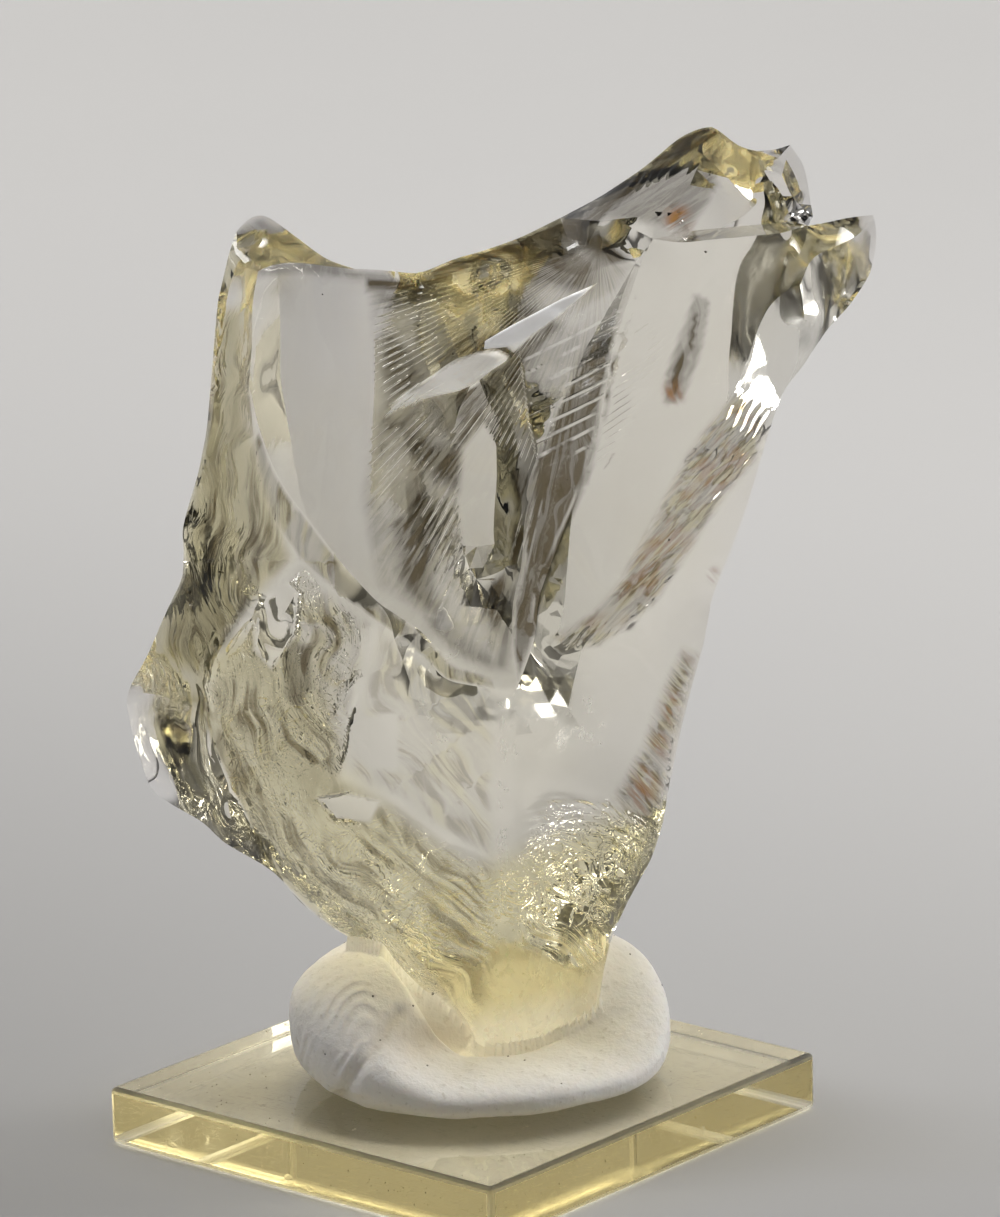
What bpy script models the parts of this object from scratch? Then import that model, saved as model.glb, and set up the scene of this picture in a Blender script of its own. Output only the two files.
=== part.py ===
"""Andara glass shard pressed into mounting putty on a square acrylic plate.

Three loose pieces rest on each other: the plate, the putty and the shard. Lengths are in metres, +Z is
up, and the origin is the centre of the plate's underside, with the plate's edges along X and Y.
"""

import math
from collections import Counter

import bmesh
import bpy
import numpy as np
from mathutils import Matrix, Vector, noise
from mathutils.geometry import delaunay_2d_cdt

MM = 0.001

# Driving dimensions.
PLATE_SIDE = 25.4 * MM  # one inch square
PLATE_THICKNESS = 3.0 * MM  # nominal 1/8 in cast acrylic
PLATE_EDGE_ROUND = 0.3 * MM
CONTACT_GAP = 0.3 * MM  # kept between touching solids
SHARD_CELL = 0.92 * MM  # spacing of the points on the shard's broken faces
PUTTY_RADIUS = 9.3 * MM
PUTTY_HEIGHT = 6.9 * MM  # above the plate
PUTTY_LIP_HEIGHT = 2.3 * MM  # the low lip in front of the shard's tip
PUTTY_CENTRE_HEIGHT = 1.2 * MM
PUTTY_CENTRE = (0.85 * MM, 0.0)  # in the front frame
PUTTY_SQUARENESS = 2.7  # power of the superellipse that rounds its side
PUTTY_WAIST = 0.42  # share of the height at which it is widest
PUTTY_FOOT_DROP = 1.35  # its underside would close this many waist heights down, but is cut flat
PUTTY_LIP_TURN = math.radians(-66)  # direction of the low lip's middle, seen from above
PUTTY_LIP_SPREAD = (math.radians(30), math.radians(88))  # low inside the first, full past the second
PUTTY_SPOKES = 56
PUTTY_RINGS = 12

# The shard and the putty are laid out in a front frame: X across, Y away from the front, Z up. It is
# turned about the upright axis so that the front looks over a corner of the plate.
FRONT_TURN = math.radians(40.8)

# The shard is plotted on a sighting sheet. A mark is (across, down, away): the first two are sheet steps
# seen from the eye point below, and the last is how many millimetres behind the upright axis it lies.
SHEET_CENTRE = (500.0, 608.5)
SHEET_STEPS_PER_UNIT_SLOPE = 7868.0
EYE_DISTANCE = 399.7 * MM
EYE_OFFSET = (-1.80 * MM, -26.27 * MM)
EYE_DIP = math.radians(15.6)
EYE_ROLL = math.radians(-1.46)
STEP = EYE_DISTANCE / SHEET_STEPS_PER_UNIT_SLOPE  # one sheet step at the upright axis

# Corners where several broken faces meet.
PROW = (517, 690, -6.6)
CREST = (653, 239, 1.0)
LEFT_PEAK = (258, 215, 3.0)
TOP_DIP = (420, 275, 6.0)
RIGHT_PEAK = (712, 127, 7.6)
LOBE_NOTCH = (808, 226, 1.4)
LOBE_END = (877, 228, 0.8)
LOBE_INNER = (812, 256, -1.0)
WAIST = (202, 686, -0.6)
TIP_LEFT = (484, 1059, -1.6)
TIP_RIGHT = (588, 1045, -1.6)

OUTLINE = [
    TIP_LEFT, (470, 1034, -1.2), (444, 1007, -0.8), (406, 978, -0.4), (372, 949, 0.0), (335, 930, 0.4),
    (300, 903, 0.8), (278, 875, 1.0), (262, 864, 1.2), (224, 843, 1.4), (203, 822, 1.6), (160, 798, 2.0),
    (149, 786, 2.0), (142, 765, 2.0), (134, 740, 2.0), (126, 705, 2.2), (128, 690, 2.2), (148, 655, 2.2),
    (166, 612, 2.2), (183, 578, 2.2), (184, 545, 2.2), (181, 530, 2.2), (198, 475, 2.0), (207, 430, 2.0),
    (212, 370, 2.0), (218, 300, 2.2), (230, 250, 2.6), (237, 231, 2.8), (247, 219, 3.0), LEFT_PEAK,
    (268, 216, 3.2), (300, 240, 3.6), (328, 261, 4.0), (355, 269, 4.6), (370, 269, 5.0), (400, 272, 5.6),
    TOP_DIP, (450, 260, 6.2), (480, 252, 6.4), (520, 238, 6.8), (560, 218, 7.2), (600, 197, 7.4),
    (645, 167, 7.6), (680, 137, 7.6), (700, 128, 7.6), RIGHT_PEAK, (720, 131, 7.6), (730, 140, 7.6),
    (742, 148, 7.6), (757, 151, 7.8), (775, 150, 8.0), (790, 145, 8.4), (801, 143, 8.6), (805, 165, 8.2),
    (808, 185, 7.6), (811, 205, 6.8), (813, 217, 5.4), LOBE_NOTCH, (830, 222, 1.0), (850, 217, 0.8),
    (873, 215, 0.8), LOBE_END, (876, 248, 1.0), (870, 275, 1.2), (850, 305, 1.4), (828, 328, 1.6),
    (812, 352, 1.6), (800, 371, 1.4), (784, 388, 1.2), (770, 428, 1.0), (762, 455, 0.8), (745, 512, 0.4),
    (730, 552, 0.0), (712, 597, -0.6), (704, 643, -1.2), (692, 686, -1.8), (681, 729, -2.2),
    (669, 787, -2.4), (663, 823, -2.4), (652, 858, -2.4), (628, 901, -2.2), (611, 938, -2.0),
    (603, 975, -1.8), (598, 1012, -1.6), TIP_RIGHT, (577, 1055, -1.6), (561, 1063, -1.6),
    (540, 1066, -1.6), (500, 1061, -1.6),
]

SCOOP_LIP = [
    (355, 269, 4.6), (325, 266, 3.2), (300, 262, 2.0), (275, 263, 0.8), (258, 271, -0.2),
    (252, 305, -0.9), (252, 345, -1.4), (249, 385, -1.8), (258, 425, -2.1), (272, 465, -2.4),
    (287, 492, -2.7), (318, 532, -3.3), (345, 568, -3.9), (378, 603, -4.6), (420, 630, -5.3),
    (452, 664, -5.9), (490, 678, -6.4), PROW,
]
LIP_FOOT = [
    (249, 385, -1.8), (254, 440, -2.0), (262, 490, -2.2), (278, 528, -2.6), (300, 560, -3.1),
    (335, 592, -3.8), (378, 622, -4.7), (415, 650, -5.4), (446, 681, -6.1), (497, 690, -6.6), PROW,
]
RIM_RIDGE = [
    (237, 231, 2.8), (236, 300, 0.9), (238, 345, 0.2), (241, 400, -0.3), (243, 450, -0.6),
    (249, 500, -1.0), (256, 545, -1.5), (247, 600, -1.5), (226, 640, -1.1), WAIST,
]
WINDOW_EDGE = [WAIST, (232, 645, -1.6), (262, 604, -2.3), (280, 572, -2.8), (300, 560, -3.1)]
WAIST_LINE = [(128, 690, 2.2), (155, 694, 0.8), (178, 701, -0.2), WAIST]
LOBE_FLUTE_OUTER = [(178, 701, -0.2), (183, 742, -0.5), (198, 795, -0.1), (224, 843, 1.4)]
LOBE_FLUTE_INNER = [WAIST, (214, 760, -1.4), (232, 820, -0.8), (262, 864, 1.2)]
LOWER_LEFT_RIDGE = [
    WAIST, (245, 728, -2.2), (288, 775, -3.2), (312, 806, -3.6), (335, 850, -3.8), (365, 895, -4.0),
    (400, 935, -3.8), (440, 984, -3.4), (470, 1025, -2.6), TIP_LEFT,
]
PANE_EDGE = [
    (378, 622, -4.7), (366, 672, -4.6), (352, 730, -4.5), (347, 778, -4.4), (395, 800, -4.9),
    (445, 838, -5.2), (496, 862, -5.6),
]
KEEL_LEFT = [
    (497, 690, -6.6), (495, 750, -6.2), (495, 810, -5.9), (496, 862, -5.6), (497, 930, -5.1),
    (502, 985, -4.4),
]
KEEL_RIGHT = [PROW, (515, 750, -6.3), (516, 850, -5.8), (520, 930, -5.2), (532, 985, -4.5)]
SHELL_ARC = [
    (516, 850, -5.8), (527, 808, -5.6), (548, 789, -5.3), (572, 785, -4.9), (604, 795, -4.3),
    (638, 812, -3.4), (663, 823, -2.4),
]
WALL_FOOT = [
    PROW, (512, 650, -5.6), (512, 605, -4.4), (522, 565, -3.4), (524, 525, -2.6), (532, 480, -1.6),
    (548, 432, -0.5), (565, 395, 0.4), (588, 345, 1.6), (615, 298, 2.6), (636, 262, 2.8), CREST,
]
WALL_CREST = [
    PROW, (535, 640, -6.4), (538, 598, -6.0), (560, 540, -5.0), (580, 490, -4.2), (597, 440, -3.4),
    (604, 395, -2.8), (613, 350, -2.0), (628, 302, -1.0), (641, 262, 0.0), CREST,
]
FRINGE_TOP = [
    (535, 640, -6.4), (562, 642, -6.1), (590, 622, -5.7), (612, 598, -5.3), (630, 562, -4.8),
    (648, 530, -4.4), (665, 495, -3.9), (684, 460, -3.4), (712, 425, -2.9), (735, 390, -2.5),
    (748, 360, -2.3), (757, 330, -2.1), (770, 304, -1.8), (790, 287, -1.5), LOBE_INNER,
]
FRINGE_FOOT = [
    (562, 642, -6.1), (602, 634, -5.3), (632, 612, -4.8), (656, 580, -4.2), (680, 543, -3.4),
    (703, 500, -2.4), (728, 468, -1.2), (762, 455, 0.8),
]
LOBE_TOP = [CREST, (680, 243, 0.6), (700, 241, 0.2), (740, 237, -0.2), (780, 233, 0.0), LOBE_NOTCH]
STEP_BACK = [CREST, (690, 231, 3.4), (740, 226, 4.6), (780, 223, 5.2), (813, 217, 5.4)]
LOBE_BAND = [LOBE_INNER, (836, 246, -0.6), (860, 236, 0.0), LOBE_END]
LOBE_RIB = [LOBE_INNER, (800, 285, -1.5), (806, 320, -0.8), (812, 352, 1.6)]
LOBE_HOLLOW = [(757, 330, -2.1), (763, 362, -1.3), (784, 388, 1.2)]
BROW_FOOT = [
    (560, 218, 7.2), (600, 221, 3.6), (640, 217, 2.8), (668, 206, 2.8), (690, 185, 3.4),
    (703, 155, 4.6), (700, 128, 7.6),
]
BLOCK_LEFT = [(730, 140, 7.6), (728, 178, 4.2), (712, 205, 3.8), (690, 231, 3.4)]
BLOCK_CRACK = [(728, 178, 4.2), (754, 206, 4.8), (780, 223, 5.2)]
BLOCK_RIGHT = [(775, 150, 8.0), (782, 175, 5.8), (793, 200, 5.6), (813, 217, 5.4)]

FRONT_RIDGES = [
    SCOOP_LIP, LIP_FOOT, RIM_RIDGE, WINDOW_EDGE, WAIST_LINE, LOBE_FLUTE_OUTER, LOBE_FLUTE_INNER,
    LOWER_LEFT_RIDGE, PANE_EDGE, KEEL_LEFT, KEEL_RIGHT, SHELL_ARC, WALL_FOOT, WALL_CREST, FRINGE_TOP,
    FRINGE_FOOT, LOBE_TOP, STEP_BACK, LOBE_BAND, LOBE_RIB, LOBE_HOLLOW, BROW_FOOT, BLOCK_LEFT,
    BLOCK_CRACK, BLOCK_RIGHT,
]

# The back has two steep slopes that meet in an upright ridge like a roof, with a chip knocked off the
# ridge, and rough skirts below it.
ROOF_FOOT_LEFT = (362, 592, 6.6)
ROOF_FOOT_RIGHT = (544, 602, 6.4)
ROOF_END = (484, 612, 11.6)
BACK_SEAM_LEFT = [
    (370, 269, 5.0), (369, 330, 5.4), (366, 400, 5.8), (361, 470, 6.2), (358, 530, 6.4), ROOF_FOOT_LEFT,
]
BACK_SEAM_RIGHT = [
    (600, 197, 7.4), (603, 258, 9.0), (598, 330, 7.8), (582, 400, 6.8), (560, 500, 6.4), ROOF_FOOT_RIGHT,
]
ROOF_RIDGE = [(480, 252, 6.4), (482, 310, 10.9), (484, 400, 11.9)]
ROOF_CHIP = [
    (484, 400, 11.9), (512, 446, 10.7), (520, 505, 10.4), (512, 568, 10.6), ROOF_END, (458, 574, 10.4),
    (452, 505, 10.5), (458, 446, 10.6), (484, 400, 11.9),
]
ROOF_HIPS = [
    ROOF_FOOT_LEFT, (398, 664, 7.4), (440, 722, 6.8), (484, 748, 6.5), (524, 694, 6.6), ROOF_FOOT_RIGHT,
]
BACK_RIGHT_RIM = [
    (757, 151, 7.8), (752, 200, 9.4), (748, 270, 9.0), (742, 340, 8.4), (728, 410, 7.8), (704, 480, 7.2),
    (684, 545, 6.4), (668, 610, 5.6), (655, 680, 4.8), (642, 750, 4.0), (630, 812, 3.2), (608, 880, 2.8),
    (588, 950, 2.4), (572, 1010, 1.4), (561, 1063, -1.6),
]
BACK_LEFT_RIM = [
    LEFT_PEAK, (254, 300, 4.6), (254, 380, 5.2), (268, 455, 5.8), (282, 525, 6.2), (288, 578, 6.2),
    (264, 640, 5.6), (240, 696, 5.0), (254, 760, 5.2), (292, 830, 5.4), (345, 890, 5.0),
    (402, 950, 4.2), (460, 1004, 2.6), TIP_LEFT,
]
BACK_SKIRT_TOP = [ROOF_FOOT_LEFT, (326, 586, 6.5), (288, 578, 6.2)]
BACK_BROW = [(603, 258, 9.0), (650, 236, 9.6), (700, 216, 9.8), (752, 200, 9.4)]
BACK_PANE_LEFT = [
    ROOF_FOOT_LEFT, (360, 680, 7.0), (356, 735, 7.0), (350, 790, 6.8), (398, 818, 6.4), (450, 852, 6.0),
    (505, 880, 5.6),
]
BACK_PANE_RIGHT = [
    (505, 880, 5.6), (520, 840, 5.6), (530, 806, 5.4), (552, 788, 5.0), (580, 786, 4.6), (612, 798, 4.0),
    (630, 812, 3.2),
]
BACK_TIP_TOP = [(402, 950, 4.2), (455, 940, 4.8), (525, 925, 4.8), (588, 950, 2.4)]

BACK_RIDGES = [
    BACK_SEAM_LEFT, BACK_SEAM_RIGHT, ROOF_RIDGE, ROOF_HIPS, BACK_RIGHT_RIM, BACK_LEFT_RIM,
    BACK_SKIRT_TOP, BACK_PANE_LEFT, BACK_PANE_RIGHT, BACK_TIP_TOP, BACK_BROW, ROOF_CHIP,
]

# Each broken face is a soap film stretched over its ridges and blown towards (+) or out of (-) the glass
# behind it. A face is named by a mark that lies on it; the swell is in 1/mm, the crumple in mm.
FRONT_FACES = {
    "scoop": ((440, 450), 0.070, 0.0),
    "peak flat": ((290, 245), 0.050, 0.0),
    "wall": ((555, 480), 0.050, 0.0),
    "right face": ((640, 430), 0.030, 0.0),
    "fringe": ((690, 490), 0.100, 0.0),
    "prow right": ((610, 720), 0.025, 0.0),
    "prow left pane": ((430, 740), 0.020, 0.0),
    "shell": ((590, 860), 0.030, 0.35),
    "crumpled skirt": ((330, 700), 0.020, 0.55),
    "lower skirt": ((430, 920), 0.000, 0.45),
    "lower left rim": ((290, 850), -0.030, 0.20),
    "brow": ((640, 195), 0.120, 0.0),
}
BACK_FACES = {
    "left back": ((310, 420), -0.020, 0.0),
    "roof left": ((420, 450), 0.0, 0.0),
    "roof right": ((530, 450), 0.0, 0.0),
    "right back": ((640, 450), -0.020, 0.0),
    "left skirt": ((310, 700), 0.0, 0.60),
    "shell back": ((570, 870), 0.0, 0.45),
    "lower back": ((440, 890), 0.0, 0.55),
}


def clear_scene():
    """Empty the file of whatever objects it opened with."""
    for obj in list(bpy.data.objects):
        bpy.data.objects.remove(obj, do_unlink=True)


def principled(name, colour, roughness, transmission=0.0, ior=1.45):
    """A plain Principled material."""
    material = bpy.data.materials.new(name)
    material.use_nodes = True
    shader = material.node_tree.nodes["Principled BSDF"]
    shader.inputs["Base Color"].default_value = (*colour, 1.0)
    shader.inputs["Roughness"].default_value = roughness
    shader.inputs["Metallic"].default_value = 0.0
    shader.inputs["Transmission Weight"].default_value = transmission
    shader.inputs["IOR"].default_value = ior
    material.diffuse_color = (*colour, 1.0)
    return material


def link_object(name, mesh, material):
    """Put a finished mesh in the scene under its own name."""
    obj = bpy.data.objects.new(name, mesh)
    bpy.context.scene.collection.objects.link(obj)
    mesh.materials.append(material)
    return obj


def place_mark(across, down, away):
    """Point in the front frame of a mark on the sighting sheet (away in metres)."""
    slope_x = (across - SHEET_CENTRE[0]) / SHEET_STEPS_PER_UNIT_SLOPE
    slope_y = (SHEET_CENTRE[1] - down) / SHEET_STEPS_PER_UNIT_SLOPE
    cos_roll, sin_roll = math.cos(EYE_ROLL), math.sin(EYE_ROLL)
    cos_dip, sin_dip = math.cos(EYE_DIP), math.sin(EYE_DIP)
    rise = sin_roll * slope_x + cos_roll * slope_y
    shift = sin_roll * EYE_OFFSET[0] + cos_roll * EYE_OFFSET[1]
    height = (rise * (EYE_DISTANCE + away * cos_dip) - shift - away * sin_dip) / (cos_dip + rise * sin_dip)
    reach = EYE_DISTANCE + away * cos_dip - height * sin_dip
    x_sheet = slope_x * reach - EYE_OFFSET[0]
    y_sheet = slope_y * reach - EYE_OFFSET[1]
    return Vector((cos_roll * x_sheet - sin_roll * y_sheet, away, height))


def divide_chain(marks, closed=False):
    """Marks with extra ones between them, about one cell apart."""
    cell_steps = SHARD_CELL / STEP
    ends = marks[1:] + marks[:1] if closed else marks[1:]
    divided = []
    for start, end in zip(marks, ends):
        start, end = Vector(start), Vector(end)
        pieces = max(1, round((end.xy - start.xy).length / cell_steps))
        divided += [start.lerp(end, i / pieces) for i in range(pieces)]
    if not closed:
        divided.append(Vector(marks[-1]))
    return divided


class Sheet:
    """One side of the shard: a triangle net on the sighting sheet with a depth at every point."""

    def __init__(self, ridges, faces):
        self.collect(ridges)
        self.triangulate()
        self.find_faces(faces)
        self.solve_depths()

    def collect(self, ridges):
        """Points and edges of the outline and the ridges, then loose points over the faces between."""
        self.marks, self.edges = [], []
        index_of = {}

        def add(mark):
            key = (round(mark.x, 2), round(mark.y, 2))
            if key not in index_of:
                index_of[key] = len(self.marks)
                self.marks.append(mark)
            return index_of[key]

        outline = [add(mark) for mark in divide_chain(OUTLINE, closed=True)]
        self.outline = outline
        self.edges += list(zip(outline, outline[1:] + outline[:1]))
        for ridge in ridges:
            chain = [add(mark) for mark in divide_chain(ridge)]
            self.edges += list(zip(chain, chain[1:]))
        self.fixed_count = len(self.marks)
        self.scatter_points()

    def scatter_points(self):
        """Loose points in staggered rows inside the outline, clear of the ridges."""
        fixed = np.array([mark.xy for mark in self.marks])
        ring = fixed[self.outline]
        cell = SHARD_CELL / STEP
        row_pitch = cell * math.sqrt(0.75)
        low, high = ring.min(axis=0), ring.max(axis=0)
        for row in range(int((high[1] - low[1]) / row_pitch)):
            down = low[1] + (row + 0.5) * row_pitch
            offset = 0.5 * cell * (row % 2)
            for column in range(int((high[0] - low[0]) / cell) + 1):
                across = low[0] + offset + column * cell
                clear = np.hypot(fixed[:, 0] - across, fixed[:, 1] - down).min() > 0.62 * cell
                if clear and inside_ring(ring, across, down):
                    self.marks.append(Vector((across, down, 0.0)))

    def triangulate(self):
        """Triangle net through every point that keeps the ridges as edges."""
        flat = [mark.xy for mark in self.marks]
        result = delaunay_2d_cdt(flat, self.edges, [self.outline], 1, 1e-4, True)
        verts, edges, tris, vert_origin, edge_origin, _ = result
        marks = []
        for place, origins in zip(verts, vert_origin):
            source = self.marks[origins[0]]
            marks.append(Vector((place.x, place.y, source.z)))
        self.fixed = np.array([origins[0] < self.fixed_count for origins in vert_origin])
        self.outline_of = {origins[0]: i for i, origins in enumerate(vert_origin)}
        self.outline = [self.outline_of[i] for i in self.outline]
        ridge_edges = [edge for edge, origins in zip(edges, edge_origin) if origins]
        self.ridge_edges = {frozenset(edge) for edge in ridge_edges}
        self.marks, self.tris = marks, [tuple(tri) for tri in tris]

    def find_faces(self, faces):
        """Sort the triangles into broken faces by flooding between the ridges."""
        by_edge = {}
        for index, tri in enumerate(self.tris):
            for a, b in zip(tri, tri[1:] + tri[:1]):
                by_edge.setdefault(frozenset((a, b)), []).append(index)
        centres = np.array([sum((self.marks[i].xy for i in tri), Vector((0, 0))) / 3 for tri in self.tris])
        self.swell = np.zeros(len(self.tris))
        self.crumple = np.zeros(len(self.tris))
        for (across, down), swell, crumple in faces.values():
            start = int(np.hypot(centres[:, 0] - across, centres[:, 1] - down).argmin())
            reached, waiting = {start}, [start]
            while waiting:
                tri = self.tris[waiting.pop()]
                for a, b in zip(tri, tri[1:] + tri[:1]):
                    edge = frozenset((a, b))
                    if edge in self.ridge_edges:
                        continue
                    for other in by_edge[edge]:
                        if other not in reached:
                            reached.add(other)
                            waiting.append(other)
            members = list(reached)
            self.swell[members] = swell
            self.crumple[members] = crumple

    def solve_depths(self):
        """Stretch the film: depths (mm) of the loose points from the ridges' depths and the swell."""
        places = np.array([mark.xy for mark in self.marks]) * (STEP / MM)
        depth = np.array([mark.z for mark in self.marks])
        stiffness = np.zeros((len(places), len(places)))
        load = np.zeros(len(places))
        rough = np.zeros(len(places))
        share = np.zeros(len(places))
        for tri, swell, crumple in zip(self.tris, self.swell, self.crumple):
            corners = places[list(tri)]
            area = 0.5 * abs(np.cross(corners[1] - corners[0], corners[2] - corners[0]))
            for k in range(3):
                a, b, c = tri[k], tri[(k + 1) % 3], tri[(k + 2) % 3]
                to_a, to_b = places[a] - places[c], places[b] - places[c]
                weight = 0.5 * float(to_a @ to_b) / max(2.0 * area, 1e-9)
                stiffness[a, b] -= weight
                stiffness[b, a] -= weight
                stiffness[a, a] += weight
                stiffness[b, b] += weight
                load[a] += swell * area / 3
                rough[a] += crumple * area / 3
                share[a] += area / 3
        loose = np.flatnonzero(~self.fixed)
        held = np.flatnonzero(self.fixed)
        pull = load[loose] - stiffness[np.ix_(loose, held)] @ depth[held]
        depth[loose] = np.linalg.solve(stiffness[np.ix_(loose, loose)], pull)
        rough /= np.maximum(share, 1e-9)
        for i in loose:
            swirl = Vector((places[i][0] * 0.42, places[i][1] * 0.30, 3.7))
            depth[i] += rough[i] * noise.noise(swirl) * 1.6
        self.depth = depth

    def points(self):
        """Every net point in the front frame."""
        return [place_mark(mark.x, mark.y, depth * MM) for mark, depth in zip(self.marks, self.depth)]


def inside_ring(ring, across, down):
    """Whether a sheet place lies inside the closed ring of places."""
    start, end = ring, np.roll(ring, -1, axis=0)
    crosses = (start[:, 1] > down) != (end[:, 1] > down)
    run = (end[:, 0] - start[:, 0]) * (down - start[:, 1])
    rise = np.where(crosses, end[:, 1] - start[:, 1], 1.0)
    return bool((crosses & (across < start[:, 0] + run / rise)).sum() % 2)


def shard_mesh(name):
    """Front and back sheets sewn together along the outline."""
    front, back = Sheet(FRONT_RIDGES, FRONT_FACES), Sheet(BACK_RIDGES, BACK_FACES)
    bm = bmesh.new()
    turn = Matrix.Rotation(FRONT_TURN, 4, "Z")
    front_verts = [bm.verts.new(turn @ point) for point in front.points()]
    shared = dict(zip(back.outline, (front_verts[i] for i in front.outline)))
    back_verts = [
        shared[i] if i in shared else bm.verts.new(turn @ point) for i, point in enumerate(back.points())
    ]
    net = [[front_verts[i] for i in tri] for tri in front.tris]
    net += [[back_verts[i] for i in reversed(tri)] for tri in back.tris]
    times_used = Counter(frozenset(corners) for corners in net)
    for corners in net:
        if times_used[frozenset(corners)] == 1:  # a triangle in both nets has no thickness
            bm.faces.new(corners)
    bmesh.ops.delete(bm, geom=[vert for vert in bm.verts if not vert.link_faces], context="VERTS")
    bmesh.ops.recalc_face_normals(bm, faces=bm.faces)
    mesh = bpy.data.meshes.new(name)
    bm.to_mesh(mesh)
    bm.free()
    return mesh


def make_shard():
    """The andara glass: one broken piece."""
    glass = principled("straw_glass", (0.93, 0.91, 0.68), 0.0, 1.0, 1.51)
    return link_object("andara_glass_shard", shard_mesh("andara_glass_shard"), glass)


def smooth_ramp(value, low, high):
    """0 below low, 1 above high, and an S curve between."""
    share = min(1.0, max(0.0, (value - low) / (high - low)))
    return share * share * (3.0 - 2.0 * share)


def putty_height(turn):
    """Height of the putty above the plate in one direction: low at the lip, full behind it."""
    off = abs((turn - PUTTY_LIP_TURN + math.pi) % (2 * math.pi) - math.pi)
    return PUTTY_LIP_HEIGHT + (PUTTY_HEIGHT - PUTTY_LIP_HEIGHT) * smooth_ramp(off, *PUTTY_LIP_SPREAD)


def putty_radius(turn):
    """Reach of the putty in one direction, with the shallow lobes that pressing left in it."""
    lobes = 0.035 * math.cos(2 * turn - 0.4) + 0.02 * math.cos(3 * turn + 1.1)
    return PUTTY_RADIUS * (1.0 + lobes)


def putty_skin_point(turn, tilt):
    """Point on the putty's skin, in the front frame: tilt runs from its foot up to a quarter turn."""
    power = 2.0 / PUTTY_SQUARENESS
    level = abs(math.sin(tilt)) ** power
    height = putty_height(turn)
    height += (PUTTY_CENTRE_HEIGHT - height) * smooth_ramp(math.sin(tilt), 0.90, 1.0)
    waist = height * PUTTY_WAIST
    rise = waist + level * (height - waist) if tilt > 0.0 else waist - level * PUTTY_FOOT_DROP * waist
    reach = putty_radius(turn) * abs(math.cos(tilt)) ** power
    x = PUTTY_CENTRE[0] + reach * math.cos(turn)
    y = PUTTY_CENTRE[1] + reach * math.sin(turn)
    return Vector((x, y, PLATE_THICKNESS + max(rise, CONTACT_GAP)))


def putty_mesh(name):
    """Squashed lump of putty with a flat foot, before the shard is pressed into it."""
    lowest = -math.asin(PUTTY_FOOT_DROP ** (-PUTTY_SQUARENESS / 2.0))
    turn_frame = Matrix.Rotation(FRONT_TURN, 4, "Z")
    bm = bmesh.new()
    rings = []
    for ring in range(PUTTY_RINGS):
        tilt = lowest + (math.pi / 2 - lowest) * ring / PUTTY_RINGS
        turns = [2 * math.pi * spoke / PUTTY_SPOKES for spoke in range(PUTTY_SPOKES)]
        rings.append([bm.verts.new(turn_frame @ putty_skin_point(turn, tilt)) for turn in turns])
    for lower, upper in zip(rings, rings[1:]):
        for i in range(PUTTY_SPOKES):
            j = (i + 1) % PUTTY_SPOKES
            bm.faces.new((lower[i], lower[j], upper[j], upper[i]))
    top = bm.verts.new(turn_frame @ putty_skin_point(0.0, math.pi / 2))
    for i in range(PUTTY_SPOKES):
        bm.faces.new((rings[-1][i], rings[-1][(i + 1) % PUTTY_SPOKES], top))
    bm.faces.new(list(reversed(rings[0])))
    bmesh.ops.recalc_face_normals(bm, faces=bm.faces)
    bmesh.ops.triangulate(bm, faces=bm.faces)
    mesh = bpy.data.meshes.new(name)
    bm.to_mesh(mesh)
    bm.free()
    return mesh


def make_putty(shard):
    """The lump of putty, with the dent that the shard's tip makes in it."""
    putty = link_object(
        "mounting_putty", putty_mesh("mounting_putty"), principled("white_putty", (0.80, 0.79, 0.76), 0.65)
    )
    cutter = link_object("shard_print_cutter", shard.data.copy(), shard.data.materials[0])
    cutter.hide_render = True
    cutter.display_type = "WIRE"
    grow = cutter.modifiers.new("clearance", "DISPLACE")
    grow.mid_level = 0.0
    grow.strength = CONTACT_GAP
    dent = putty.modifiers.new("dent", "BOOLEAN")
    dent.operation = "DIFFERENCE"
    dent.solver = "EXACT"
    dent.object = cutter
    return putty


def make_plate():
    """The square acrylic plate that everything stands on."""
    mesh = bpy.data.meshes.new("acrylic_plate")
    bm = bmesh.new()
    bmesh.ops.create_cube(bm, size=1.0)
    size = Vector((PLATE_SIDE, PLATE_SIDE, PLATE_THICKNESS))
    bmesh.ops.scale(bm, vec=size, verts=bm.verts)
    bmesh.ops.translate(bm, vec=(0.0, 0.0, PLATE_THICKNESS / 2), verts=bm.verts)
    bmesh.ops.bevel(bm, geom=bm.edges[:], offset=PLATE_EDGE_ROUND, segments=3, profile=0.5, affect="EDGES")
    bm.to_mesh(mesh)
    bm.free()
    acrylic = principled("clear_acrylic", (0.90, 0.86, 0.62), 0.05, 1.0, 1.49)
    return link_object("acrylic_plate", mesh, acrylic)


def main():
    clear_scene()
    make_plate()
    shard = make_shard()
    make_putty(shard)


main()
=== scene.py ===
"""Andara glass shard in mounting putty on a square acrylic plate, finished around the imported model.

Lengths are in metres and +Z is up. The shard is plotted on a sighting sheet, as in the model's source: a
mark is (across, down, away), the first two in sheet steps and the last in millimetres behind the upright
axis. A zone is a ring of (across, down) marks.
"""

import math

import bmesh
import bpy
import numpy as np
from bpy.props import FloatProperty, FloatVectorProperty, PointerProperty
from mathutils import Matrix, Vector, noise
from mathutils.bvhtree import BVHTree


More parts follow.
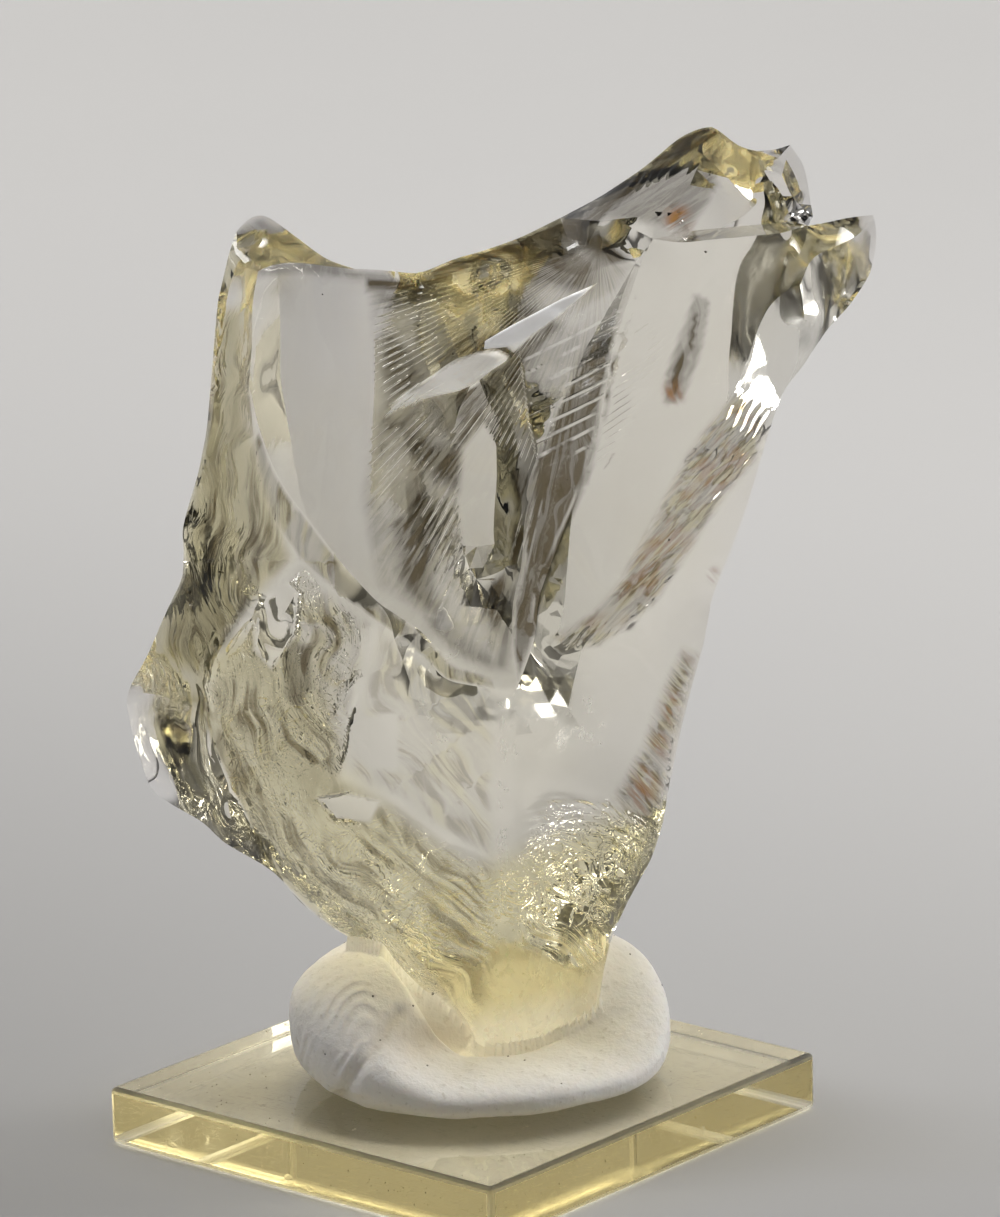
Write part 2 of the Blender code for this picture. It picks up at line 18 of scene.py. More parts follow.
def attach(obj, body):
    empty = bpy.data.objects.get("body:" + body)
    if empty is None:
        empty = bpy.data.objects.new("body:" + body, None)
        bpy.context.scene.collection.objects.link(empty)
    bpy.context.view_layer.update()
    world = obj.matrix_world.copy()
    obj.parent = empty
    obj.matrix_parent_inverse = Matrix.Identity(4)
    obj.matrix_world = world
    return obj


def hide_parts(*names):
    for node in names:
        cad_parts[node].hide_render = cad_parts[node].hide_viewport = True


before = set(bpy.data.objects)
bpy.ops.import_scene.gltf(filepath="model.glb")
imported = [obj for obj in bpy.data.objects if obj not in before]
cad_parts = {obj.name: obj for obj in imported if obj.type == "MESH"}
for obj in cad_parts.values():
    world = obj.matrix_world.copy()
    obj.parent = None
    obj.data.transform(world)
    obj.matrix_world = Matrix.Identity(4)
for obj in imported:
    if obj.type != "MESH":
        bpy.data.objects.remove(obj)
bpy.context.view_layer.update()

bl_info = {
    "name": "Andara Glass on a Putty Stand",
    "version": (1, 0, 0),
    "blender": (4, 5, 0),
    "location": "View3D > Sidebar > Andara Glass",
    "description": "Builds a broken glass specimen, its putty, its plate and the stage",
    "category": "Add Mesh",
}

MM = 0.001

# The sighting sheet, as in the model's source.
FRONT_TURN = math.radians(40.8)
SHEET_CENTRE = (500.0, 608.5)
SHEET_HEIGHT = 1217.0
SHEET_STEPS_PER_UNIT_SLOPE = 7868.0
EYE_DISTANCE = 399.7 * MM
EYE_OFFSET = (-1.80 * MM, -26.27 * MM)
EYE_DIP = math.radians(15.6)
EYE_ROLL = math.radians(-1.46)
SENSOR_WIDTH_MM = 36.0

# Shard.
CREASE_ANGLE = math.radians(24)  # sharper edges of the model's net stay sharp
HIP_CREASE_ANGLE = math.radians(3)  # behind the scoop's foot the facets are flat, and meet in edges
HIPS = [(385, 560), (610, 560), (610, 725), (385, 725)]
SMOOTHINGS = 2  # whole net
SHARD_TRIANGLES = 192000  # most that the last, partial smoothing may reach

SCOOP = [
    (262, 272), (355, 272), (450, 262), (560, 225), (640, 262), (600, 340), (548, 432), (524, 530),
    (512, 650), (500, 682), (420, 628), (345, 566), (272, 462), (252, 330),
]
HACKLED_SCOOP = [
    (362, 280), (450, 266), (560, 230), (640, 262), (606, 350), (560, 470), (530, 600), (500, 676),
    (430, 628), (372, 590), (356, 500), (372, 400),
]
HACKLE_EYE = (600, 245)
WALL_HACKLES = [
    (520, 352), (610, 300), (640, 292), (626, 350), (606, 400), (590, 455), (540, 470), (528, 420),
]
FINE_HACKLES = [
    (628, 322), (668, 296), (676, 330), (652, 390), (622, 446), (590, 492), (586, 462), (606, 400),
]
WALL = [
    (512, 650), (512, 605), (522, 565), (524, 525), (532, 480), (548, 432), (565, 395), (588, 345),
    (615, 298), (636, 262), (653, 239), (641, 262), (628, 302), (613, 350), (604, 395), (597, 440),
    (580, 490), (560, 540), (538, 598), (535, 640), (517, 690),
]
OLIVE_PATCH = [
    (514, 372), (540, 340), (572, 312), (612, 286), (640, 280), (628, 318), (590, 350), (562, 392),
    (532, 402),
]
LEFT_PATCH = [(378, 430), (404, 424), (424, 470), (412, 520), (384, 530), (368, 490)]
WALL_EDGE = [
    (612, 352), (618, 352), (602, 440), (584, 495), (563, 545), (542, 602), (536, 640), (528, 640),
    (536, 598), (557, 540), (578, 490), (596, 438),
]
LEDGE = [
    (258, 425), (272, 465), (287, 492), (318, 532), (345, 568), (378, 603), (420, 630), (452, 664),
    (490, 678), (497, 690), (446, 681), (415, 650), (378, 622), (335, 592), (300, 560), (278, 528),
    (262, 490), (254, 440),
]
OVAL = [(484, 415), (508, 446), (520, 505), (512, 568), (484, 596), (460, 574), (452, 505), (458, 446)]
SCOOP_SWIRL = [
    (430, 300), (470, 268), (505, 300), (498, 345), (516, 410), (500, 432), (470, 420), (440, 380),
]
SCOOP_TOP = [
    (360, 272), (420, 276), (480, 254), (560, 222), (600, 225), (640, 262), (580, 285), (500, 262),
    (420, 300), (362, 296),
]
TOP_EDGE = [
    (425, 292), (430, 262), (480, 244), (560, 208), (600, 172), (650, 132), (690, 116), (735, 132),
    (700, 152), (640, 196), (570, 250), (480, 286),
]
SCOOP_BED = [(415, 612), (500, 590), (528, 590), (512, 676), (490, 676), (452, 660), (424, 632)]
SKIRT = [
    (232, 645), (262, 604), (300, 560), (378, 622), (366, 672), (352, 730), (347, 778), (395, 800),
    (445, 838), (500, 862), (500, 1000), (470, 1034), (406, 978), (335, 930), (278, 875), (224, 790),
    (202, 686),
]
PANE = [(378, 622), (446, 681), (497, 690), (496, 862), (445, 838), (395, 800), (347, 778), (352, 730)]
SHELL = [
    (516, 850), (527, 808), (548, 789), (604, 795), (663, 823), (652, 858), (611, 938), (598, 985),
    (520, 950),
]
SHELL_EYE = (572, 905)
SHELL_SQUASH = (1.0, 1.15)
RIM = [
    (212, 300), (252, 300), (258, 425), (300, 560), (262, 604), (226, 645), (202, 686), (150, 660),
    (181, 530),
]
RIM_STRIP = [
    (238, 470), (258, 500), (270, 548), (258, 596), (236, 640), (210, 668), (204, 654), (232, 610),
    (244, 560),
]
PEAK = [
    (232, 225), (262, 212), (300, 236), (356, 266), (420, 272), (420, 290), (356, 284), (300, 278),
    (256, 282), (236, 300),
]
SWIRL = [(282, 625), (318, 640), (322, 690), (300, 722), (276, 700), (274, 655)]
LOBE = [(126, 700), (202, 686), (245, 728), (290, 800), (300, 903), (224, 843), (134, 740)]
RIGHT_HACKLES = [
    (606, 800), (638, 742), (656, 690), (680, 640), (706, 652), (684, 729), (664, 826), (640, 836),
]
FRINGE = [
    (545, 636), (590, 610), (612, 585), (648, 520), (684, 450), (735, 385), (775, 400), (762, 460),
    (728, 500), (690, 560), (656, 610), (602, 650), (562, 655),
]
BROW = [(560, 218), (600, 190), (650, 158), (700, 124), (735, 140), (714, 205), (690, 235), (640, 228)]
LOBE_BACK = [(690, 231), (813, 217), (880, 215), (870, 280), (800, 380), (735, 400), (720, 300)]
LENS_STREAK = [(694, 290), (712, 300), (704, 350), (684, 402), (662, 408), (664, 372), (680, 330)]
VEIL = [
    (180, 640), (262, 604), (330, 640), (360, 760), (470, 850), (600, 800), (680, 790), (670, 880),
    (600, 1010), (470, 1040), (330, 960), (200, 850),
]
TIP = [(448, 925), (500, 915), (590, 925), (606, 960), (596, 1050), (560, 1070), (484, 1066), (446, 1010)]
LENS_CORE = [(694, 306), (702, 312), (694, 350), (680, 396), (664, 402), (670, 372), (686, 340)]
# A healed crack inside the glass, in two leaves that overlap: the rims on the sheet, upper edge first.
LOWER_LEAF = [
    (380, 423), (389, 410), (400, 396), (420, 386), (447, 366), (457, 360), (480, 352), (497, 350),
    (511, 357), (508, 364), (493, 374), (477, 387), (460, 395), (440, 399), (420, 404), (402, 410),
]
UPPER_LEAF = [
    (484, 349), (485, 341), (500, 332), (514, 324), (537, 312), (563, 298), (598, 283), (584, 296),
    (557, 318), (538, 333), (524, 344), (514, 354), (505, 347), (497, 348),
]
# Small clear facets among the crumpled glass.
WINDOWS = (
    [(250, 652), (256, 604), (284, 578), (304, 590), (299, 636), (272, 674)],
    [(181, 702), (197, 700), (222, 756), (250, 816), (268, 864), (240, 852), (208, 802), (188, 752)],
    [(350, 716), (402, 708), (400, 776), (366, 770), (352, 748)],
    [(312, 796), (348, 790), (384, 800), (372, 826), (334, 822)],
)
CRINKLED = [
    (280, 800), (330, 826), (395, 800), (445, 838), (496, 862), (516, 850), (548, 800), (663, 823),
    (652, 858), (611, 930), (455, 925), (440, 1000), (406, 978), (335, 930), (278, 875),
]
# The way the glass tore down the left side: a chain of marks that the streaks run along.
TEAR = [
    (225, 260), (212, 370), (200, 470), (186, 560), (196, 640), (215, 720), (245, 800), (290, 870),
    (340, 925), (406, 978), (470, 1034),
]

KEEL_BAND = [(488, 690), (520, 690), (520, 940), (488, 940)]
BROW_BLOCK = [
    (560, 222), (650, 150), (705, 112), (745, 125), (820, 128), (818, 215), (720, 240), (600, 246),
]
SCOOP_FOOT = [(430, 650), (585, 650), (585, 740), (430, 740)]
WHOLE_SHEET = [(0, 0), (1000, 0), (1000, 1217), (0, 1217)]

# Painted shade: olive and brown painted into the glass's colour where the glass looks dark because light is
# trapped in it: zone, edge, olive share, brown share.
PAINTED_SHADE_TONES = (
    (RIM, 24.0, 1.0, 0.65), (RIM_STRIP, 10.0, 0.2, 1.0), (PEAK, 10.0, 0.0, 0.75), (SKIRT, 26.0, 1.0, 0.30),
    (SWIRL, 14.0, 0.3, 1.0), (LOBE, 14.0, 0.90, 0.15), (SHELL, 18.0, 0.05, 0.0), (LEDGE, 4.0, 1.0, 0.60),
    (HACKLED_SCOOP, 22.0, 0.50, 1.0), (SCOOP_SWIRL, 18.0, 0.6, 0.4), (SCOOP_TOP, 10.0, 0.0, 1.15),
    (TOP_EDGE, 8.0, 0.0, 1.15), (TIP, 20.0, 0.0, 0.30), (SCOOP_BED, 14.0, 0.4, 0.8), (WALL, 6.0, 0.0, 1.12),
    (WALL_EDGE, 3.0, 0.0, 1.25), (BROW, 12.0, 0.2, 0.75), (FRINGE, 14.0, 1.0, 0.60),
    (RIGHT_HACKLES, 18.0, 1.0, 0.55), (LENS_STREAK, 4.0, 0.0, 0.7), (LENS_CORE, 3.0, 0.0, 1.0),
    (PANE, 14.0, 0.60, 0.05),
)
# Paler patches in that painted shade: zone, edge and how bare.
PALER_SHADE_PATCHES = (
    (OVAL, 10.0, 0.9), (OLIVE_PATCH, 8.0, 0.45), (LEFT_PATCH, 14.0, 0.5), (LOWER_LEAF, 3.0, 0.9),
    (UPPER_LEAF, 3.0, 0.9),
)
SKIRT_FOOT = (720.0, 880.0)  # down the sheet, over which the skirt's painted shade thins out
# Other finishes: zone, edge and share.
VEILED = ((VEIL, 40.0, 1.0), (RIM, 20.0, 1.0))
TORN = ((SKIRT, 26.0, 1.0), (RIM, 20.0, 0.45), (SHELL, 18.0, 0.7))
CREASED = ((CRINKLED, 16.0, 1.0), (SKIRT, 26.0, 0.3))
STAINED = ((FRINGE, 16.0, 0.55), (RIGHT_HACKLES, 26.0, 0.8))
STAIN_SPOTS = (((679, 220), 22.0), ((676, 390), 18.0), ((716, 575), 12.0))  # middle and reach
# Where the glass is frosted: zone, edge, share at the front and share at the back.
FROSTED = (
    (KEEL_BAND, 14.0, 1.0, 0.0), (LOBE_BACK, 14.0, 0.45, 0.6), (BROW_BLOCK, 12.0, 0.0, 0.4),
    (LOBE, 14.0, 0.0, 0.35), (SHELL, 18.0, 0.0, 0.3), (PEAK, 10.0, 0.0, 0.4), (HIPS, 30.0, 0.0, 0.35),
    (SCOOP_FOOT, 18.0, 0.5, 0.8), (RIM, 20.0, 0.0, 0.3), (TIP, 16.0, 1.0, 0.0),
)
# How much each zone deserves the finest triangles, at the front and at the back.
FINE_ZONES = (
    (HACKLED_SCOOP, 1.0, 0.0), (SKIRT, 0.95, 0.8), (SHELL, 0.9, 0.85), (FRINGE, 0.7, 0.0), (BROW, 0.7, 0.0),
    (RIGHT_HACKLES, 0.7, 0.0),
)

# Noise on the sheet: direction in radians, length along it, width across it, and seed. Some have a size in
# front of that.
TEAR_WANDER = ((26.0, (0.6, 120.0, 80.0, 40.0)), (9.0, (0.2, 40.0, 34.0, 41.0)))
TEAR_CURLS = (0.2, 70.0, 34.0, 9.6)
RIM_STREAKS = (0.0, 160.0, 20.0, 3.9)
FAN_WAVER = (0.5, (-0.8, 200.0, 90.0, 4.1))
HACKLE_GAPS = (-0.7, 90.0, 50.0, 12.4)
ARC_WANDER = (5.0, (0.0, 60.0, 60.0, 2.2))
SCOOP_RIPPLE = (math.radians(84), 260.0, 26.0, 1.7)
BLOTCHES = (0.9, 70.0, 42.0, 26.0)
STAIN_PATCHES = (0.8, 60.0, 24.0, 31.0)

# Waves in the breaks: zone, edge, whether they run along the tear, noise, whether their crests are sharp,
# and height in mm at the front and at the back. The first group is the crumpled glass.
CRUMPLES = (
    (SKIRT, 26.0, True, (0.0, 120.0, 12.0, 1.3), True, 0.05, 0.0),
    (SKIRT, 26.0, True, TEAR_CURLS, False, 0.22, 0.0),
    (SKIRT, 26.0, False, (0.4, 27.0, 22.0, 5.2), False, 0.13, 0.0),
    (SKIRT, 26.0, True, (0.0, 130.0, 20.0, 21.3), True, 0.0, 0.10),
    (SKIRT, 26.0, False, (0.9, 52.0, 38.0, 19.6), False, 0.0, 0.40),
    (SHELL, 14.0, False, (1.1, 34.0, 17.0, 7.7), True, 0.09, 0.0),
)
WAVES = (
    (SHELL, 14.0, False, (1.2, 40.0, 22.0, 3.3), False, 0.0, 0.05),
    (PANE, 18.0, False, (math.radians(88), 190.0, 13.0, 6.5), False, 0.05, 0.0),
    (RIM, 20.0, True, RIM_STREAKS, True, 0.035, 0.00875),
    (RIM, 20.0, True, TEAR_CURLS, False, 0.05, 0.0125),
    (LOBE, 18.0, True, RIM_STREAKS, True, 0.035, 0.00875),
    (LOBE, 18.0, True, TEAR_CURLS, False, 0.05, 0.0125),
    (LOBE_BACK, 14.0, False, (math.radians(96), 90.0, 18.0, 2.9), False, 0.06, 0.0),
    (WHOLE_SHEET, 1.0, False, (math.radians(80), 150.0, 60.0, 14.2), False, 0.0, 0.03),
)
# Breaks in steps: zone, edge, direction across the steps, their spacing, the noise that bends them, height.
TERRACED = (
    (FRINGE, 16.0, (0.72, 0.70), 8.0, (0.9, 50.0, 30.0, 5.5), 0.045),
    (RIGHT_HACKLES, 22.0, (0.735, -0.678), 8.5, (0.1, 60.0, 30.0, 8.8), 0.045),
    (BROW, 12.0, (0.80, 0.60), 7.5, (2.2, 60.0, 30.0, 4.8), 0.04),
)
TERRACE_DROP = 0.4  # share of a step that falls
# Straight hackles: zone, direction across them, their spacing, and how much and by what noise they wander.
STRAIGHT_HACKLES = (
    (WALL_HACKLES, (0.46, 0.888), 13.0, 0.35, (-0.5, 120.0, 30.0, 8.7)),
    (FINE_HACKLES, (0.56, 0.83), 6.5, 0.5, (-0.6, 90.0, 30.0, 3.7)),
)
STRAIGHT_SHARES = ((WALL_HACKLES, 10.0, 1.0), (FINE_HACKLES, 12.0, 0.7))
FAN_STEP = 0.028  # radians between two hackles of the scoop's fan
ARC_SPACING = 9.5  # between two arcs of the shell
ARC_REACH = (60.0, 95.0)  # from the shell's eye, over which the arcs grow clear
ARC_HEIGHT = 0.048
SCOOP_RIPPLE_HEIGHT = 0.035
# Grain of the breaks, where it doesn't follow the tear: a fan in the scoop, and elsewhere a turn and a
# scale.
GRAIN_FAN = (1.6, 320.0)  # scale, and the length of one radian
TURNED_GRAINS = ((BROW, 0.58, 2.0), (FRINGE, 0.80, 2.6), (RIGHT_HACKLES, -0.82, 2.6))
FACING = (0.02, 0.25)  # cosines to the eye between which a face comes to count as front or as back
GLASS_FRONT = (0.0, 0.1)  # the same for the glass's painted shade and other tones, as the eye's height in metres above the face

# Edges of zones, over which their shares fade.
FAN_EDGE = 30.0
SCOOP_EDGE = 30.0
SCOOP_TONE_EDGE = 22.0
SCOOP_WALL_EDGE = 3.0
OVAL_EDGE = 8.0
SHELL_EDGE = 14.0
SKIRT_EDGE = 26.0
WINDOW_EDGE = 5.0
# Noise between whose two values something comes to its full share.
HACKLE_GAP_ENDS = (-0.45, 0.15)
BLOTCH_ENDS = (0.15, -0.35)
STAIN_ENDS = (-0.4, 0.15)
# Shares of the glass's tones and painted shade.
FOOT_THINNING = 0.15  # of the painted olive shade, at the skirt's foot
BLOTCH_SHARE = 0.65  # of the scoop's painted brown shade that the blotches take away
WINDOW_VEIL = 0.3  # that the small clear facets keep
STAIN_CORE = 0.3  # of a stain spot's reach, at its full strength


# ---------------------------------------------------------------- sheet and zones


def place_mark(across, down, away):
    """Point in the model's frame of a mark on the sighting sheet."""
    away = away * MM
    slope_x = (across - SHEET_CENTRE[0]) / SHEET_STEPS_PER_UNIT_SLOPE
    slope_y = (SHEET_CENTRE[1] - down) / SHEET_STEPS_PER_UNIT_SLOPE
    cos_roll, sin_roll = math.cos(EYE_ROLL), math.sin(EYE_ROLL)
    cos_dip, sin_dip = math.cos(EYE_DIP), math.sin(EYE_DIP)
    rise = sin_roll * slope_x + cos_roll * slope_y
    shift = sin_roll * EYE_OFFSET[0] + cos_roll * EYE_OFFSET[1]
    height = (rise * (EYE_DISTANCE + away * cos_dip) - shift - away * sin_dip) / (cos_dip + rise * sin_dip)
    reach = EYE_DISTANCE + away * cos_dip - height * sin_dip
    x_sheet = slope_x * reach - EYE_OFFSET[0]
    y_sheet = slope_y * reach - EYE_OFFSET[1]
    front = Vector((cos_roll * x_sheet - sin_roll * y_sheet, away, height))
    return Matrix.Rotation(FRONT_TURN, 3, "Z") @ front


def eye_matrix():
    """Where the eye stands and how it is turned: X across the sheet, Y up it and Z towards the eye."""
    towards = Vector((0.0, -math.cos(EYE_DIP), math.sin(EYE_DIP)))
    level = Matrix(((1.0, 0.0, 0.0), towards.cross(Vector((1.0, 0.0, 0.0))), towards)).transposed()
    turn = Matrix.Rotation(FRONT_TURN, 3, "Z") @ level @ Matrix.Rotation(EYE_ROLL, 3, "Z")
    place = turn @ Vector((-EYE_OFFSET[0], -EYE_OFFSET[1], EYE_DISTANCE))
    return Matrix.Translation(place) @ turn.to_4x4()


def reach_to_eye(points, normals):
    """How far in metres the eye stands above the surface at each point."""
    return (normals * (np.array(eye_matrix().translation) - points)).sum(axis=1)


def sheet_places(points):
    """Across and down of every point, as an array of pairs."""
    local = np.array(eye_matrix().inverted())
    seen = points @ local[:3, :3].T + local[:3, 3]
    slope = seen[:, :2] / -seen[:, 2:]
    return SHEET_CENTRE + slope * (SHEET_STEPS_PER_UNIT_SLOPE, -SHEET_STEPS_PER_UNIT_SLOPE)


def smooth_ramp(value, low, high):
    """0 at low, 1 at high, and an S curve between."""
    share = np.clip((value - low) / (high - low), 0.0, 1.0)
    return share * share * (3.0 - 2.0 * share)


def beside_run(places, start, end):
    """Distance from a straight run between two marks, and the share of it passed at the nearest place."""
    start, end = np.array(start, float), np.array(end, float)
    run = end - start
    share = np.clip((places - start) @ run / (run @ run), 0.0, 1.0)
    return np.linalg.norm(places - start - share[:, None] * run, axis=1), share


def line_distance(places, marks):
    """Distance on the sheet from a chain of marks."""
    return np.min([beside_run(places, *ends)[0] for ends in zip(marks, marks[1:])], axis=0)


def zone_share(places, ring, feather):
    """1 inside a zone of the sheet and 0 outside it, with an edge that fades over one feather inside it."""
    closed = [*ring, ring[0]]
    within = np.zeros(len(places), bool)
    for (x, y), (next_x, next_y) in zip(closed, closed[1:]):
        if next_y != y:
            crosses = (y > places[:, 1]) != (next_y > places[:, 1])
            within ^= crosses & (places[:, 0] < x + (places[:, 1] - y) / (next_y - y) * (next_x - x))
    nearest = line_distance(places, closed)
    return smooth_ramp(np.where(within, nearest, -nearest), 0.0, feather)


def inside(places, ring):
    """Whether each place lies inside a zone of the sheet."""
    return zone_share(places, ring, 1.0) > 0


def noise_over(places, angle, length, width, seed):
    """Smooth noise on the sheet, with grain of one length along a direction and of one width across it."""
    along = np.array((math.cos(angle), math.sin(angle)))
    across = np.array((-along[1], along[0]))
    u, v = places @ along / length, places @ across / width
    return np.array([noise.noise((a, b, seed)) for a, b in zip(u.tolist(), v.tolist())])


def sized_noise(places, size, grain):
    """Noise over the sheet, times a size."""
    return size * noise_over(places, *grain)


def tear_places(places):
    """How far along the tear, and how far from it, each place lies."""
    nearest = np.full(len(places), np.inf)
    along = np.zeros(len(places))
    passed = 0.0
    for ends in zip(TEAR, TEAR[1:]):
        distance, share = beside_run(places, *ends)
        length = math.dist(*ends)
        closer = distance < nearest
        nearest[closer] = distance[closer]
        along[closer] = passed + share[closer] * length
        passed += length
    for wander in TEAR_WANDER:
        nearest = nearest + sized_noise(places, *wander)
    return np.stack((along, nearest), 1)


def turned(places, angle, scale):
    """Coordinates along and across a direction of the sheet, which goes up to the right by an angle."""
    along = np.array((math.cos(angle), -math.sin(angle)))
    across = np.array((math.sin(angle), math.cos(angle)))
    return scale * np.stack((places @ along, places @ across), 1)


def grain_places(places):
    """Coordinates along and across the grain of the break at each place."""
    offset = places - HACKLE_EYE
    bearing = np.arctan2(offset[:, 1], -offset[:, 0])
    scale, radian = GRAIN_FAN
    fan = scale * np.stack((np.linalg.norm(offset, axis=1), radian * bearing), 1)
    grain = np.where(inside(places, HACKLED_SCOOP)[:, None], fan, tear_places(places))
    for zone, angle, scale in TURNED_GRAINS:
        grain = np.where(inside(places, zone)[:, None], turned(places, angle, scale), grain)
    return grain


# ---------------------------------------------------------------- triangle nets


def edge_table(triangles):
    """End points of a closed net's edges, the two corners facing each, and every triangle's three edges."""
    ends = np.concatenate([triangles[:, [0, 1]], triangles[:, [1, 2]], triangles[:, [2, 0]]])
    tips = np.concatenate([triangles[:, 2], triangles[:, 0], triangles[:, 1]])
    edges, which = np.unique(np.sort(ends, axis=1), axis=0, return_inverse=True)
    which = which.ravel()
    facing = tips[np.argsort(which, kind="stable")].reshape(-1, 2)
    return edges, facing, which.reshape(3, -1).T


def smooth_net(points, triangles, creases, chosen):
    """One step of Loop's smoothing that splits the chosen triangles and keeps the creased edges sharp."""
    edges, facing, sides = edge_table(triangles)
    keys = edges[:, 0].astype(np.int64) * len(points) + edges[:, 1]
    sharp = np.isin(keys, creases[:, 0].astype(np.int64) * len(points) + creases[:, 1])

    split = np.zeros(len(edges), bool)
    split[sides[chosen].ravel()] = True
    while True:
        crowded = (split[sides].sum(axis=1) == 2)
        if not crowded.any():
            break
        split[sides[crowded].ravel()] = True

    ends = points[edges[:, 0]] + points[edges[:, 1]]
    tips = points[facing[:, 0]] + points[facing[:, 1]]
    middles = np.where(sharp[:, None], ends / 2, 0.375 * ends + 0.125 * tips)
    moved = smooth_corners(points, edges, sharp)
    index_of = np.cumsum(split) - 1 + len(points)

    counts = split[sides].sum(axis=1)
    kept = triangles[counts == 0]
    whole, cuts = triangles[counts == 3], index_of[sides[counts == 3]]
    a, b, c = whole.T
    ab, bc, ca = cuts.T
    quarters = [np.stack(corner, 1) for corner in ((a, ab, ca), (b, bc, ab), (c, ca, bc), (ab, bc, ca))]
    single = counts == 1
    turn = split[sides[single]].argmax(axis=1)
    rows = np.arange(single.sum())
    first = triangles[single][rows, turn]
    second = triangles[single][rows, (turn + 1) % 3]
    third = triangles[single][rows, (turn + 2) % 3]
    cut = index_of[sides[single][rows, turn]]
    halves = [np.stack((first, cut, third), 1), np.stack((cut, second, third), 1)]

    halved = edges[sharp & split]
    middle = index_of[sharp & split]
    pieces = [np.stack((halved[:, end], middle), 1) for end in (0, 1)]
    creases = np.concatenate([edges[sharp & ~split], *pieces])
    return np.concatenate([moved, middles[split]]), np.concatenate([kept, *quarters, *halves]), creases


def smooth_corners(points, edges, sharp):
    """Loop's places for the points that were there already."""
    count = np.bincount(edges.ravel(), minlength=len(points))
    around = np.zeros_like(points)
    np.add.at(around, edges[:, 0], points[edges[:, 1]])
    np.add.at(around, edges[:, 1], points[edges[:, 0]])
    pull = (0.625 - (0.375 + 0.25 * np.cos(2 * np.pi / count)) ** 2) / count
    moved = (1 - count * pull)[:, None] * points + pull[:, None] * around
    creased = edges[sharp]
    crease_count = np.bincount(creased.ravel(), minlength=len(points))
    along = np.zeros_like(points)
    np.add.at(along, creased[:, 0], points[creased[:, 1]])
    np.add.at(along, creased[:, 1], points[creased[:, 0]])
    on_ridge, at_corner = crease_count == 2, crease_count > 2
    moved[on_ridge] = 0.75 * points[on_ridge] + 0.125 * along[on_ridge]
    moved[at_corner] = points[at_corner]
    return moved


def net_normals(points, triangles):
    """Outward unit normals at the points of a net."""
    corners = points[triangles]
    faces = np.cross(corners[:, 1] - corners[:, 0], corners[:, 2] - corners[:, 0])
    normals = np.zeros_like(points)
    for k in range(3):
        np.add.at(normals, triangles[:, k], faces)
    return normals / np.maximum(np.linalg.norm(normals, axis=1), 1e-20)[:, None]


def merged_net(node):
    """Points, triangles and sharp edges of a model node, with its loose corners joined."""
    bm = bmesh.new()
    bm.from_mesh(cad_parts[node].data)
    bmesh.ops.remove_doubles(bm, verts=bm.verts, dist=0.001 * MM)
    points = np.array([vert.co for vert in bm.verts])
    triangles = np.array([[vert.index for vert in face.verts] for face in bm.faces])
    eye = eye_matrix().translation
    middles = [(edge.verts[0].co + edge.verts[1].co) / 2 for edge in bm.edges]
    hips = inside(sheet_places(np.array(middles)), HIPS)
    sharp = []
    for edge, middle, on_hips in zip(bm.edges, middles, hips):
        away = all((eye - middle).dot(face.normal) < 0 for face in edge.link_faces)
        if edge.calc_face_angle(0.0) > (HIP_CREASE_ANGLE if on_hips and away else CREASE_ANGLE):
            sharp.append(edge)
    creases = np.array([sorted(vert.index for vert in edge.verts) for edge in sharp])
    bm.free()
    return points, triangles, creases


def add_object(name, data):
    """An object of the scene that holds the data."""
    made = bpy.data.objects.new(name, data)
    bpy.context.scene.collection.objects.link(made)
    return made


def piece_from_net(name, points, triangles, material, creases=None):
    """A smooth-shaded object at the origin made of a triangle net."""
    mesh = bpy.data.meshes.new(name)
    mesh.from_pydata(points.tolist(), [], triangles.tolist())
    mesh.shade_smooth()
    if creases is not None:
        ends = np.empty(2 * len(mesh.edges), np.int32)
        mesh.edges.foreach_get("vertices", ends)
        ends = np.sort(ends.reshape(-1, 2), axis=1).astype(np.int64)
        key = (len(points), 1)
        sharp = np.isin(ends @ key, np.sort(creases, axis=1).astype(np.int64) @ key)
        mesh.attributes.new("sharp_edge", "BOOLEAN", "EDGE").data.foreach_set("value", sharp)
    mesh.materials.append(material)
    return add_object(name, mesh)


def store_share(piece, name, values):
    """Keep one number per point, for the materials to read."""
    piece.data.attributes.new(name, "FLOAT", "POINT").data.foreach_set("value", values.astype(np.float32))


def store_places(piece, name, pairs):
    """Keep a pair of coordinates per point, for the materials to read."""
    triples = np.concatenate([pairs, np.zeros((len(pairs), 1))], axis=1).astype(np.float32)
    piece.data.attributes.new(name, "FLOAT_VECTOR", "POINT").data.foreach_set("vector", triples.ravel())


# ---------------------------------------------------------------- materials

RIPPLE_HEIGHT = 0.02 * MM
STRAND_HEIGHT = 0.60 * MM
CREASE_HEIGHT = 0.13 * MM
HACKLE_LINE_HEIGHT = 0.05 * MM
PORE_DEPTH = 0.02 * MM
FINE_RIDGE_HEIGHT = 0.03 * MM
SCRATCH_DEPTH = 0.004 * MM


def add_node(tree, kind, inputs=None, **settings):
    """A node with its settings, and inputs given as values or as sockets to read."""
    made = tree.nodes.new(kind)
    for name, value in settings.items():
        setattr(made, name, value)
    for name, value in (inputs or {}).items():
        if isinstance(value, bpy.types.NodeSocket):
            tree.links.new(value, made.inputs[name])
        else:
            made.inputs[name].default_value = value
    return made


def add_ramp(tree, value, low, high, start=0.0, end=1.0):
    """value from low to high turned into start to end, and held there past them."""
    inputs = {"Value": value, "From Min": low, "From Max": high, "To Min": start, "To Max": end}
    return add_node(tree, "ShaderNodeMapRange", inputs, interpolation_type="SMOOTHSTEP").outputs[0]


